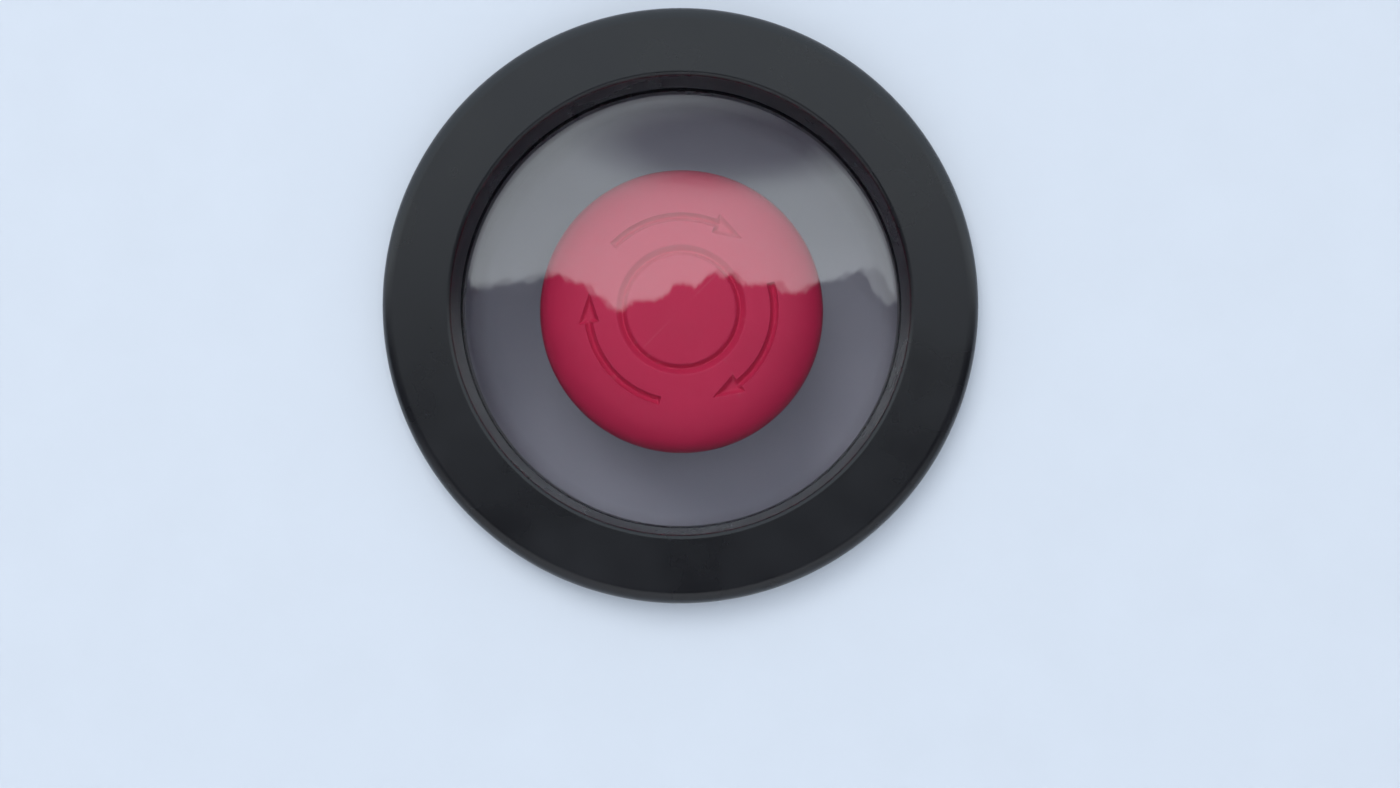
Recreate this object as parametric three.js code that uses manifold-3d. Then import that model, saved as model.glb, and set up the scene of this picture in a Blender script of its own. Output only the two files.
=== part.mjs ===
// Recessed emergency call button: a twist-release mushroom head behind a clear pane in a rubber surround.
// Millimetres, +Z up. The front faces -Y. The origin is the centre of the hole in the panel's outer face,
// so every depth below is a Y value: negative in front of the panel, positive behind it.

import * as THREE from "three";
import { mergeVertices } from "three/addons/utils/BufferGeometryUtils.js";
import Module from "manifold-3d";

// Clearances
const GAP = 0.3; // between pieces that seat on or fit inside each other
const RUNNING_GAP = 0.4; // round pieces that slide

// Panel that the button is fixed to
const PANEL_THICKNESS = 3;

// Rubber surround
const SURROUND_RADIUS = 40;
const SURROUND_HEIGHT = 5.5;
const SURROUND_DRAFT = 0.4;
const SURROUND_EDGE = 1.7;
const OPENING_FLARE = 0.4;
const OPENING_EDGE = 0.6;
const SKIRT_WALL = 1.5;
const GROOVE_WALL = 1.1;
const REAR_LIP = 2.6;
const REAR_LIP_CHAMFER = 0.8;

// Clear pane
const PANE_DEPTH = 2.5;
const PANE_THICKNESS = 3;
const PANE_OVERLAP = 2;
const PANE_CHAMFER = 0.4;

// Cup that holds everything behind the panel
const NECK_WALL = 2.3;
const NECK_LENGTH = 15;
const BODY_WALL = 1.8;
const BODY_DRAFT = 0.5;
const FLANGE_WIDTH = 2.2; // beyond the neck
const FLANGE_THICKNESS = 1.5;
const FLOOR_THICKNESS = 2.5;
const FLOOR_FILLET = 2.5;
const FLOOR_RIBS = 8;
const FLOOR_RIB_WIDTH = 1.6;
const FLOOR_RIB_HEIGHT = 2;
const DRAIN_RADIUS = 2;
const PANEL_GASKET_THICKNESS = 1;
const PANEL_GASKET_INSET = 0.2;

// Ring nut behind the panel
const RING_NUT_WALL = 3.1;
const RING_NUT_LENGTH = 6;
const RING_NUT_NOTCHES = 12;
const RING_NUT_NOTCH_WIDTH = 5;
const RING_NUT_NOTCH_DEPTH = 1.3;

// Mushroom head
const HEAD_RADIUS = 20;
const HEAD_GAP = 1.5;
const DOME_HEIGHT = 6;
const DOME_POWER = 2.4;
const HEAD_BACK_HEIGHT = 8;
const HEAD_BACK_INSET = 3;
const HEAD_WALL = 2.2;
const HEAD_RIM_WALL = 1.2;
const HOLLOW_DOME_SHARE = 0.94; // of the hollow's radius
const DISC_RADIUS = 7.6;
const DISC_BEVEL = 0.35;
const RING_GROOVE_WIDTH = 1.15;
const RING_GROOVE_DEPTH = 0.8;
const BOSS_WALL = 2.9; // round the cam's stub
const BOSS_LENGTH = 12;
const BOSS_OVERHANG = 1.2;
const HEAD_RIBS = 6;
const HEAD_RIB_WIDTH = 1.2;

// Arrows engraved in the head, as clock angles in degrees
const ARROW_COUNT = 3;
const ARROW_TAIL = 73.4;
const ARROW_TIP = 159.5;
const ARROW_RADIUS = 12.95;
const ARROW_SHAFT_WIDTH = 1;
const ARROW_HEAD_WIDTH = 2.7;
const ARROW_HEAD_SWEEP = 17.5;
const ARROW_ENGRAVING = 0.45;

// Push and twist action
const PUSH_TRAVEL = 5.5;
const PUSH_RUN_OUT = 1.5;
const TWIST_ANGLE = 45;

// Operator barrel for a 22.5 mm hole
const BARREL_RADIUS = 11;
const BARREL_HOLE_PLAY = 0.25;
const BARREL_LENGTH = 14.7;
const COLLAR_WIDTH = 3.75; // beyond the barrel
const COLLAR_LENGTH = 8.3;
const COLLAR_CHAMFER = 1.2;
const CHAMBER_WALL = 1.4;
const BARREL_KEY_WIDTH = 1.8;
const BARREL_KEY_HEIGHT = 1;
const BEZEL_GASKET_THICKNESS = 0.7;
const SEAL_THICKNESS = 2.4;
const SEAL_WIDTH = 3.4; // beyond the sleeve

// Push sleeve and release cam
const SLEEVE_WALL = 2.8;
const SLEEVE_STEP = 0.2; // beyond its tail
const SLEEVE_FLANGE_LENGTH = 2.5;
const SLEEVE_KEY_WIDTH = 1.6;
const SLEEVE_KEY_HEIGHT = 0.9;
const TAIL_WALL = 1.6;
const TAIL_REACH = 0.4; // past the carrier's web
const CAM_FLANGE_LENGTH = 2;
const CAM_SHOULDER = 0.7; // beyond its stub
const CAM_FLAT_DEPTH = 0.8;
const CAM_LUG_ANGLE = 24;
const CAP_THICKNESS = 1.3;
const CAP_HOLE_RADIUS = 2;

// Springs
const SPRING_SPACE = 2.4; // between the sleeve's tail and the chamber
const RETURN_WIRE = 1.2;
const RETURN_TURNS = 4.5;
const TWIST_WIRE = 0.5;
const TWIST_TURNS = 2.25;
const CONTACT_WIRE = 0.5;
const CONTACT_COIL_RADIUS = 1.9;
const CONTACT_TURNS = 5;
const CLOSE_TURNS = 1; // wound close at each end
const CLOSE_PITCH = 1.25; // of the close turns, in wire thicknesses

// Barrel nut and lock washer
const WASHER_WIDTH = 3.6; // beyond the barrel
const WASHER_THICKNESS = 1;
const NUT_WALL = 2.5; // at the middle of a flat
const NUT_LENGTH = 5;

// Contact carrier
const CARRIER_SIDE = 2.5; // beside the barrel
const CLAMP_DEPTH = 6; // of the socket's wall at the clamp screws
const CARRIER_SOCKET_LENGTH = 5;
const CARRIER_WEB = 1.5;
const CARRIER_FRAME_WALL = 2.5;
const CARRIER_CORNER = 2;
const ARM_WIDTH = 14;
const ARM_THICKNESS = 1.7;
const ARM_LENGTH = 5.3;
const HOOK_LENGTH = 1.2;
const HOOK_DEPTH = 0.8;
const CLAMP_SCREW_RADIUS = 1.5;
const CLAMP_SCREW_SLOT = 0.6;
const CLAMP_SCREW_SLOT_DEPTH = 1;

// Contact blocks
const BLOCK_COUNT = 2;
const BLOCK_SIDE = 3.9; // from the pusher's axis to the tray's open side
const BLOCK_HEIGHT = 38;
const BLOCK_LENGTH = 22;
const BLOCK_WALL = 1.2;
const COVER_THICKNESS = 1.2;
const CHAMBER_HALF_HEIGHT = 8;
const SHELF_LENGTH = 5.8;
const PUSHER_SIZE = 5;
const PUSHER_LENGTH = 17.5;
const BRIDGE_WIDTH = 2.4;
const BRIDGE_THICKNESS = 0.8;
const BRIDGE_END = 0.2; // past the contact tips
const STRIP_THICKNESS = 0.8;
const STRIP_WIDTH = 4;
const STRIP_OVERHANG = 1.6;
const TIP_RADIUS = 1;
const TIP_HEIGHT = 0.3;
const TERMINAL_INSET = 5.7; // from the block's end to the screw's axis
const TERMINAL_SCREW_RADIUS = 1.6;
const TERMINAL_SCREW_LENGTH = 6.2;
const TERMINAL_HEAD_RADIUS = 2.8;
const TERMINAL_HEAD_LENGTH = 2.4;
const TERMINAL_WIRE_SPACE = 2.1;
const TERMINAL_SLOT = 0.7;
const TERMINAL_SLOT_DEPTH = 1.1;
const WIRE_ENTRY_LENGTH = 5.6;

// Facets round a full turn
const LARGE_FACETS = 40;
const MEDIUM_FACETS = 24;
const SMALL_FACETS = 12;
const CORNER_FACETS = 4;
const WIRE_FACETS = 6;
const LARGE_COIL_FACETS = 14;
const SMALL_COIL_FACETS = 8;

// Depths, front to back
const SURROUND_FACE = -SURROUND_HEIGHT;
const PANE_BACK = PANE_DEPTH + PANE_THICKNESS;
const SURROUND_BACK = PANE_BACK + GAP + REAR_LIP;
const FLANGE_BACK = -PANEL_GASKET_THICKNESS;
const FLANGE_FRONT = FLANGE_BACK - FLANGE_THICKNESS;
const HEAD_FRONT = PANE_BACK + HEAD_GAP;
const HEAD_WIDEST = HEAD_FRONT + DOME_HEIGHT;
const HEAD_BACK = HEAD_WIDEST + HEAD_BACK_HEIGHT;
const BOSS_BACK = HEAD_BACK + BOSS_OVERHANG;
const SOCKET_FRONT = BOSS_BACK - BOSS_LENGTH + GAP;
const SLEEVE_FRONT = BOSS_BACK + RUNNING_GAP;
const COLLAR_FRONT = HEAD_BACK + PUSH_TRAVEL + PUSH_RUN_OUT;
const SEAL_FRONT = COLLAR_FRONT + GAP;
const SEAL_BACK = SEAL_FRONT + SEAL_THICKNESS;
const SEAL_POCKET_BACK = SEAL_BACK + GAP;
const COLLAR_BACK = COLLAR_FRONT + COLLAR_LENGTH;
const FLOOR_FRONT = COLLAR_BACK + BEZEL_GASKET_THICKNESS;
const FLOOR_BACK = FLOOR_FRONT + FLOOR_THICKNESS;
const WASHER_BACK = FLOOR_BACK + WASHER_THICKNESS;
const NUT_BACK = WASHER_BACK + NUT_LENGTH;
const CHAMBER_FRONT = COLLAR_BACK + CHAMBER_WALL;
const SLEEVE_FLANGE_FRONT = CHAMBER_FRONT + GAP;
const SLEEVE_FLANGE_BACK = SLEEVE_FLANGE_FRONT + SLEEVE_FLANGE_LENGTH;
const BARREL_BACK = COLLAR_BACK + BARREL_LENGTH;
const WEB_FRONT = BARREL_BACK + GAP;
const WEB_BACK = WEB_FRONT + CARRIER_WEB;
const TAIL_BACK = WEB_BACK + TAIL_REACH;
const CAP_FRONT = TAIL_BACK - CAP_THICKNESS;
const TWIST_SPRING_LENGTH = TWIST_WIRE * (TWIST_TURNS + 1) + GAP;
const TWIST_SPRING_BACK = CAP_FRONT - GAP;
const TWIST_SPRING_FRONT = TWIST_SPRING_BACK - TWIST_SPRING_LENGTH;
const CAM_BACK = TWIST_SPRING_FRONT - GAP;
const CAM_FLANGE_FRONT = CAM_BACK - CAM_FLANGE_LENGTH;
const COUNTERBORE_FRONT = CAM_FLANGE_FRONT - GAP;
const PUSHER_FRONT = TAIL_BACK + GAP;
const CARRIER_BACK = TAIL_BACK + PUSH_TRAVEL + GAP;
const BLOCK_FRONT = CARRIER_BACK + GAP;
const BLOCK_BACK = BLOCK_FRONT + BLOCK_LENGTH;
const SHELF_BACK = BLOCK_FRONT + SHELF_LENGTH;
const STRIP_FRONT = SHELF_BACK + GAP;
const STRIP_BACK = STRIP_FRONT + STRIP_THICKNESS;
const BRIDGE_FRONT = STRIP_BACK + TIP_HEIGHT + GAP;
const TERMINAL_HEAD_FRONT = STRIP_BACK + TERMINAL_WIRE_SPACE;
const PUSHER_BACK = PUSHER_FRONT + PUSHER_LENGTH;

// Radii of the window and the cup, from the outside in
const SKIRT_BORE_RADIUS = SURROUND_RADIUS - SKIRT_WALL;
const FLANGE_RADIUS = SKIRT_BORE_RADIUS - GAP;
const NECK_RADIUS = FLANGE_RADIUS - FLANGE_WIDTH;
const NECK_BORE_RADIUS = NECK_RADIUS - NECK_WALL;
const SPIGOT_RADIUS = NECK_BORE_RADIUS - GAP;
const GROOVE_RADIUS = SPIGOT_RADIUS - GROOVE_WALL;
const PANE_RADIUS = GROOVE_RADIUS - GAP;
const OPENING_RADIUS = PANE_RADIUS - PANE_OVERLAP;
const RING_NUT_RADIUS = NECK_RADIUS + GAP + RING_NUT_WALL;
const CUP_BORE_RADIUS = NECK_BORE_RADIUS - 2 * GAP;
const CUP_BODY_RADIUS = CUP_BORE_RADIUS + BODY_WALL;

// Radii of the operator, from the barrel outwards and inwards
const BARREL_HOLE_RADIUS = BARREL_RADIUS + BARREL_HOLE_PLAY;
const COLLAR_RADIUS = BARREL_RADIUS + COLLAR_WIDTH;
const WASHER_RADIUS = BARREL_RADIUS + WASHER_WIDTH;
const NUT_FLATS = 2 * (BARREL_RADIUS + NUT_WALL);
const CHAMBER_RADIUS = BARREL_RADIUS - CHAMBER_WALL;
const SLEEVE_FLANGE_RADIUS = CHAMBER_RADIUS - GAP;
const TAIL_RADIUS = CHAMBER_RADIUS - SPRING_SPACE;
const COUNTERBORE_RADIUS = TAIL_RADIUS - TAIL_WALL;
const SLEEVE_RADIUS = TAIL_RADIUS + SLEEVE_STEP;
const SLEEVE_BORE_RADIUS = SLEEVE_RADIUS - SLEEVE_WALL;
const BARREL_BORE_RADIUS = SLEEVE_RADIUS + RUNNING_GAP;
const SEAL_RADIUS = SLEEVE_RADIUS + SEAL_WIDTH;
const CAM_RADIUS = SLEEVE_BORE_RADIUS - GAP;
const CAM_STUB_RADIUS = CAM_RADIUS - CAM_SHOULDER;
const CAM_STUB_FLATS = 2 * (CAM_STUB_RADIUS - CAM_FLAT_DEPTH);
const CAM_LUG_RADIUS = TAIL_RADIUS - GAP;
const BOSS_RADIUS = CAM_STUB_RADIUS + BOSS_WALL;

// Sizes of the carrier and the contact blocks that follow from the barrel and the sleeve
const WEB_HOLE_RADIUS = TAIL_RADIUS + RUNNING_GAP;
const CARRIER_WIDTH = 2 * (BARREL_RADIUS + CARRIER_SIDE);
const CARRIER_SOCKET_HEIGHT = 2 * (BARREL_RADIUS + CLAMP_DEPTH);
const PUSHER_OFFSET = TAIL_RADIUS - TAIL_WALL / 2;
const BLOCK_WIDTH = PUSHER_OFFSET + BLOCK_SIDE - GAP;
const TERMINAL_OFFSET = BLOCK_HEIGHT / 2 - TERMINAL_INSET;
const BRIDGE_LENGTH = 2 * (CHAMBER_HALF_HEIGHT - STRIP_OVERHANG + 2 * TIP_RADIUS + BRIDGE_END);

const wasm = await Module();
wasm.setup();

/** Points of an arc in an outline, between two angles in degrees. */
function arc(centreX, centreY, radius, from, to, steps) {
  return Array.from({ length: steps + 1 }, (_, i) => {
    const angle = THREE.MathUtils.degToRad(from + ((to - from) * i) / steps);
    return [centreX + radius * Math.cos(angle), centreY + radius * Math.sin(angle)];
  });
}

/** A solid turned about the Y axis from an outline of [radius, depth] points. */
function revolve(outline, facets) {
  const points = outline.map(([radius, depth]) => new THREE.Vector2(radius, depth));
  if (THREE.ShapeUtils.isClockWise(points)) {
    points.reverse();
  }
  if (points[0].x > 0) {
    points.push(points[0].clone());
  }
  return new THREE.LatheGeometry(points, facets);
}

/** A flat ring between two radii and two depths. */
function ring(innerRadius, outerRadius, front, back, facets) {
  const outline = [
    [innerRadius, front],
    [outerRadius, front],
    [outerRadius, back],
    [innerRadius, back],
  ];
  return revolve(outline, facets);
}

/** A cylinder on the Y axis between two depths. */
function rod(radius, front, back, facets) {
  const geometry = new THREE.CylinderGeometry(radius, radius, back - front, facets);
  return geometry.translate(0, (front + back) / 2, 0);
}

/** A box given by its low and high corners. */
function block(low, high) {
  const geometry = new THREE.BoxGeometry(high[0] - low[0], high[1] - low[1], high[2] - low[2]);
  return geometry.translate((low[0] + high[0]) / 2, (low[1] + high[1]) / 2, (low[2] + high[2]) / 2);
}

/** A shape drawn in X and Z, extruded along Y between two depths. */
function prism(shape, front, back) {
  const settings = { depth: back - front, bevelEnabled: false, curveSegments: CORNER_FACETS / 2 };
  return new THREE.ExtrudeGeometry(shape, settings).rotateX(Math.PI / 2).translate(0, back, 0);
}

/** A rectangle with rounded corners, centred on the axis. */
function roundedRectangle(width, height, corner) {
  const shape = new THREE.Shape();
  const x = width / 2 - corner;
  const z = height / 2 - corner;
  shape.absarc(x, z, corner, 0, Math.PI / 2);
  shape.absarc(-x, z, corner, Math.PI / 2, Math.PI);
  shape.absarc(-x, -z, corner, Math.PI, 1.5 * Math.PI);
  shape.absarc(x, -z, corner, 1.5 * Math.PI, 2 * Math.PI);
  return shape;
}

/** A point at a clock angle, seen from the front: 0 is up, 90 is to the right. */
function clock(radius, degrees) {
  const angle = THREE.MathUtils.degToRad(degrees);
  return new THREE.Vector2(radius * Math.sin(angle), radius * Math.cos(angle));
}

/** A ring sector between two radii and two clock angles. */
function sector(innerRadius, outerRadius, from, to, steps) {
  const angles = Array.from({ length: steps + 1 }, (_, i) => from + ((to - from) * i) / steps);
  const outer = angles.map((angle) => clock(outerRadius, angle));
  const inner = angles.map((angle) => clock(innerRadius, angle)).reverse();
  return new THREE.Shape([...outer, ...inner]);
}

/** Copies of a geometry turned about the Y axis in equal steps. */
function around(count, makeGeometry) {
  return Array.from({ length: count }, (_, i) => makeGeometry().rotateY((2 * Math.PI * i) / count));
}

/** The manifold solid of a closed geometry, with shared corners merged. */
function toManifold(geometry) {
  const bare = geometry.clone();
  bare.deleteAttribute("normal");
  bare.deleteAttribute("uv");
  const merged = mergeVertices(bare, 1e-4);
  const corners = merged.index.array;
  const kept = [];
  for (let i = 0; i < corners.length; i += 3) {
    const [a, b, c] = corners.subarray(i, i + 3);
    if (a !== b && b !== c && c !== a) {
      kept.push(a, b, c);
    }
  }
  const vertProperties = new Float32Array(merged.attributes.position.array);
  return new wasm.Manifold(new wasm.Mesh({ numProp: 3, vertProperties, triVerts: new Uint32Array(kept) }));
}

/** The three.js geometry of a manifold solid. */
function toGeometry(manifold) {
  const mesh = manifold.getMesh();
  const geometry = new THREE.BufferGeometry();
  geometry.setAttribute("position", new THREE.BufferAttribute(mesh.vertProperties, 3));
  geometry.setIndex(new THREE.BufferAttribute(mesh.triVerts, 1));
  const flat = geometry.toNonIndexed();
  flat.computeVertexNormals();
  return flat;
}

/** One geometry joined with others and then cut by others. */
function shapeSolid(base, { joined = [], cut = [] }) {
  let solid = toManifold(base);
  for (const piece of joined) {
    solid = solid.add(toManifold(piece));
  }
  for (const piece of cut) {
    solid = solid.subtract(toManifold(piece));
  }
  return toGeometry(solid);
}

/** The common part of two geometries. */
function common(first, second) {
  return toGeometry(toManifold(first).intersect(toManifold(second)));
}

/** Axis of a coil spring's wire, along Y, with its first and last turns wound close. */
class CoilCurve extends THREE.Curve {
  constructor(radius, front, back, turns, closePitch) {
    super();
    this.radius = radius;
    this.front = front;
    this.back = back;
    this.turns = turns;
    this.closePitch = closePitch;
  }

  getPoint(t, target = new THREE.Vector3()) {
    const turn = t * this.turns;
    const openTurns = this.turns - 2 * CLOSE_TURNS;
    const openLength = this.back - this.front - 2 * CLOSE_TURNS * this.closePitch;
    const openTurn = Math.min(Math.max(turn - CLOSE_TURNS, 0), openTurns);
    const closeTurn = Math.min(turn, CLOSE_TURNS) + Math.max(turn - CLOSE_TURNS - openTurns, 0);
    const depth = this.front + closeTurn * this.closePitch + (openTurn * openLength) / openTurns;
    const angle = 2 * Math.PI * turn;
    return target.set(this.radius * Math.sin(angle), depth, this.radius * Math.cos(angle));
  }
}

/** A coil spring whose wire lies between two depths. */
function coilSpring(radius, wire, front, back, turns, coilFacets) {
  const closePitch = Math.min(CLOSE_PITCH * wire, (back - front - wire) / turns);
  const path = new CoilCurve(radius, front + wire / 2, back - wire / 2, turns, closePitch);
  const section = new THREE.Shape().absarc(0, 0, wire / 2, 0, 2 * Math.PI);
  const settings = {
    steps: Math.round(turns * coilFacets),
    curveSegments: WIRE_FACETS / 2,
    extrudePath: path,
    bevelEnabled: false,
  };
  return new THREE.ExtrudeGeometry(section, settings);
}

/** Depth of the head's front at a radius. */
function domeDepth(radius) {
  const share = (radius / HEAD_RADIUS) ** DOME_POWER;
  return HEAD_FRONT + DOME_HEIGHT * (1 - Math.max(1 - share, 0) ** (1 / DOME_POWER));
}

/** Points of the dome between two radii, closer together towards the rim. */
function domePoints(from, to, steps, offset = 0) {
  return Array.from({ length: steps + 1 }, (_, i) => {
    const radius = from + (to - from) * Math.sin((Math.PI / 2) * (i / steps));
    return [radius, domeDepth(radius) + offset];
  });
}

function surroundGeometry() {
  const faceRadius = SURROUND_RADIUS - SURROUND_DRAFT - SURROUND_EDGE;
  const mouthRadius = OPENING_RADIUS + OPENING_FLARE + OPENING_EDGE;
  return revolve(
    [
      ...arc(mouthRadius, SURROUND_FACE + OPENING_EDGE, OPENING_EDGE, 180, 270, 2),
      ...arc(faceRadius, SURROUND_FACE + SURROUND_EDGE, SURROUND_EDGE, 270, 360, 4),
      [SURROUND_RADIUS, 0],
      [SKIRT_BORE_RADIUS, 0],
      [SKIRT_BORE_RADIUS, FLANGE_FRONT - GAP],
      [SPIGOT_RADIUS, FLANGE_FRONT - GAP],
      [SPIGOT_RADIUS, SURROUND_BACK - REAR_LIP_CHAMFER],
      [SPIGOT_RADIUS - REAR_LIP_CHAMFER, SURROUND_BACK],
      [OPENING_RADIUS, SURROUND_BACK],
      [OPENING_RADIUS, PANE_BACK + GAP],
      [GROOVE_RADIUS, PANE_BACK + GAP],
      [GROOVE_RADIUS, PANE_DEPTH - GAP],
      [OPENING_RADIUS, PANE_DEPTH - GAP],
    ],
    LARGE_FACETS,
  );
}

function paneGeometry() {
  return revolve(
    [
      [0, PANE_DEPTH],
      [PANE_RADIUS - PANE_CHAMFER, PANE_DEPTH],
      [PANE_RADIUS, PANE_DEPTH + PANE_CHAMFER],
      [PANE_RADIUS, PANE_BACK - PANE_CHAMFER],
      [PANE_RADIUS - PANE_CHAMFER, PANE_BACK],
      [0, PANE_BACK],
    ],
    LARGE_FACETS,
  );
}

function cupGeometry() {
  const floorBore = CUP_BORE_RADIUS - BODY_DRAFT;
  const floorRadius = CUP_BODY_RADIUS - BODY_DRAFT;
  const shell = revolve(
    [
      [NECK_BORE_RADIUS, FLANGE_FRONT],
      [FLANGE_RADIUS, FLANGE_FRONT],
      [FLANGE_RADIUS, FLANGE_BACK],
      [NECK_RADIUS, FLANGE_BACK],
      [NECK_RADIUS, FLANGE_BACK + NECK_LENGTH],
      [CUP_BODY_RADIUS, FLANGE_BACK + NECK_LENGTH],
      ...arc(floorRadius - FLOOR_FILLET, FLOOR_BACK - FLOOR_FILLET, FLOOR_FILLET, 0, 90, 2),
      [BARREL_HOLE_RADIUS, FLOOR_BACK],
      [BARREL_HOLE_RADIUS, FLOOR_FRONT],
      ...arc(floorBore - FLOOR_FILLET, FLOOR_FRONT - FLOOR_FILLET, FLOOR_FILLET, 90, 0, 2),
      [CUP_BORE_RADIUS, SURROUND_BACK + GAP],
      [NECK_BORE_RADIUS, SURROUND_BACK + GAP],
    ],
    LARGE_FACETS,
  );
  const ribInner = WASHER_RADIUS + BODY_WALL;
  const ribOuter = floorRadius - FLOOR_FILLET;
  const makeRib = () =>
    block(
      [-FLOOR_RIB_WIDTH / 2, FLOOR_BACK - GAP, ribInner],
      [FLOOR_RIB_WIDTH / 2, FLOOR_BACK + FLOOR_RIB_HEIGHT, ribOuter],
    );
  const keyway = block(
    [-BARREL_KEY_WIDTH / 2 - GAP, FLOOR_FRONT - GAP, 0],
    [BARREL_KEY_WIDTH / 2 + GAP, FLOOR_BACK + GAP, BARREL_HOLE_RADIUS + BARREL_KEY_HEIGHT],
  );
  const drain = rod(DRAIN_RADIUS, 0, NECK_RADIUS, SMALL_FACETS)
    .rotateX(-Math.PI / 2)
    .translate(0, FLOOR_FRONT - FLOOR_FILLET - DRAIN_RADIUS, 0);
  return shapeSolid(shell, { joined: around(FLOOR_RIBS, makeRib), cut: [keyway, drain] });
}

function panelGasketGeometry() {
  const inner = NECK_RADIUS + GAP;
  return ring(inner, FLANGE_RADIUS - PANEL_GASKET_INSET, FLANGE_BACK, 0, LARGE_FACETS);
}

function ringNutGeometry() {
  const back = PANEL_THICKNESS + RING_NUT_LENGTH;
  const body = ring(NECK_RADIUS + GAP, RING_NUT_RADIUS, PANEL_THICKNESS, back, LARGE_FACETS);
  const makeNotch = () =>
    block(
      [-RING_NUT_NOTCH_WIDTH / 2, PANEL_THICKNESS + RING_NUT_LENGTH / 3, RING_NUT_RADIUS - RING_NUT_NOTCH_DEPTH],
      [RING_NUT_NOTCH_WIDTH / 2, back + GAP, RING_NUT_RADIUS + GAP],
    );
  return shapeSolid(body, { cut: around(RING_NUT_NOTCHES, makeNotch) });
}

/** One turning arrow as a flat shape, from its tail clockwise to its tip. */
function arrowShape(turn) {
  const neck = ARROW_TIP - ARROW_HEAD_SWEEP;
  const steps = 8;
  const angles = Array.from({ length: steps + 1 }, (_, i) => ARROW_TAIL + ((neck - ARROW_TAIL) * i) / steps);
  const outer = angles.map((angle) => clock(ARROW_RADIUS + ARROW_SHAFT_WIDTH / 2, angle + turn));
  const inner = angles.map((angle) => clock(ARROW_RADIUS - ARROW_SHAFT_WIDTH / 2, angle + turn)).reverse();
  return new THREE.Shape([
    ...outer,
    clock(ARROW_RADIUS + ARROW_HEAD_WIDTH / 2, neck + turn),
    clock(ARROW_RADIUS, ARROW_TIP + turn),
    clock(ARROW_RADIUS - ARROW_HEAD_WIDTH / 2, neck + turn),
    ...inner,
  ]);
}

/** Socket or stub of the head's drive: a round with two flats. */
function driveGeometry(radius, flats, front, back) {
  const slab = block([-radius, front - GAP, -flats / 2], [radius, back + GAP, flats / 2]);
  return common(rod(radius, front, back, MEDIUM_FACETS), slab);
}

function headGeometry() {
  const grooveOuter = DISC_RADIUS + RING_GROOVE_WIDTH;
  const grooveFloor = domeDepth(DISC_RADIUS) + RING_GROOVE_DEPTH;
  const rimInner = HEAD_RADIUS - HEAD_BACK_INSET - HEAD_RIM_WALL;
  const hollowRadius = HEAD_RADIUS - HEAD_WALL;
  const back = arc(0, 0, 1, 0, 90, 3).map(([across, along]) => [
    HEAD_RADIUS - HEAD_BACK_INSET + HEAD_BACK_INSET * across,
    HEAD_WIDEST + HEAD_BACK_HEIGHT * along,
  ]);
  const hollow = domePoints(BOSS_RADIUS, hollowRadius * HOLLOW_DOME_SHARE, 3, HEAD_WALL).reverse();
  const body = revolve(
    [
      [0, HEAD_FRONT],
      [DISC_RADIUS - DISC_BEVEL, domeDepth(DISC_RADIUS - DISC_BEVEL)],
      [DISC_RADIUS, domeDepth(DISC_RADIUS) + DISC_BEVEL],
      [DISC_RADIUS, grooveFloor],
      [grooveOuter, grooveFloor],
      ...domePoints(grooveOuter, HEAD_RADIUS, 7),
      ...back.slice(1),
      [rimInner, HEAD_BACK],
      [hollowRadius, HEAD_WIDEST],
      ...hollow,
      [BOSS_RADIUS, BOSS_BACK],
      [0, BOSS_BACK],
    ],
    LARGE_FACETS,
  );
  const ribFront = domeDepth(hollowRadius) + GAP;
  const makeRib = () =>
    block(
      [-HEAD_RIB_WIDTH / 2, ribFront, BOSS_RADIUS - GAP],
      [HEAD_RIB_WIDTH / 2, HEAD_WIDEST + HEAD_WALL, rimInner + HEAD_RIM_WALL],
    );
  const socket = driveGeometry(
    CAM_STUB_RADIUS + GAP,
    CAM_STUB_FLATS + 2 * GAP,
    SOCKET_FRONT - GAP,
    BOSS_BACK + GAP,
  );
  const core = revolve(
    [
      [0, HEAD_FRONT + ARROW_ENGRAVING],
      ...domePoints(DISC_RADIUS, HEAD_RADIUS, 10, ARROW_ENGRAVING),
      [HEAD_RADIUS, HEAD_BACK],
      [0, HEAD_BACK],
    ],
    LARGE_FACETS,
  );
  const arrows = Array.from({ length: ARROW_COUNT }, (_, i) => {
    const turn = (360 / ARROW_COUNT) * i;
    const cutter = prism(arrowShape(turn), HEAD_FRONT - GAP, HEAD_WIDEST);
    return shapeSolid(cutter, { cut: [core] });
  });
  return shapeSolid(body, { joined: around(HEAD_RIBS, makeRib), cut: [socket, ...arrows] });
}

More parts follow.
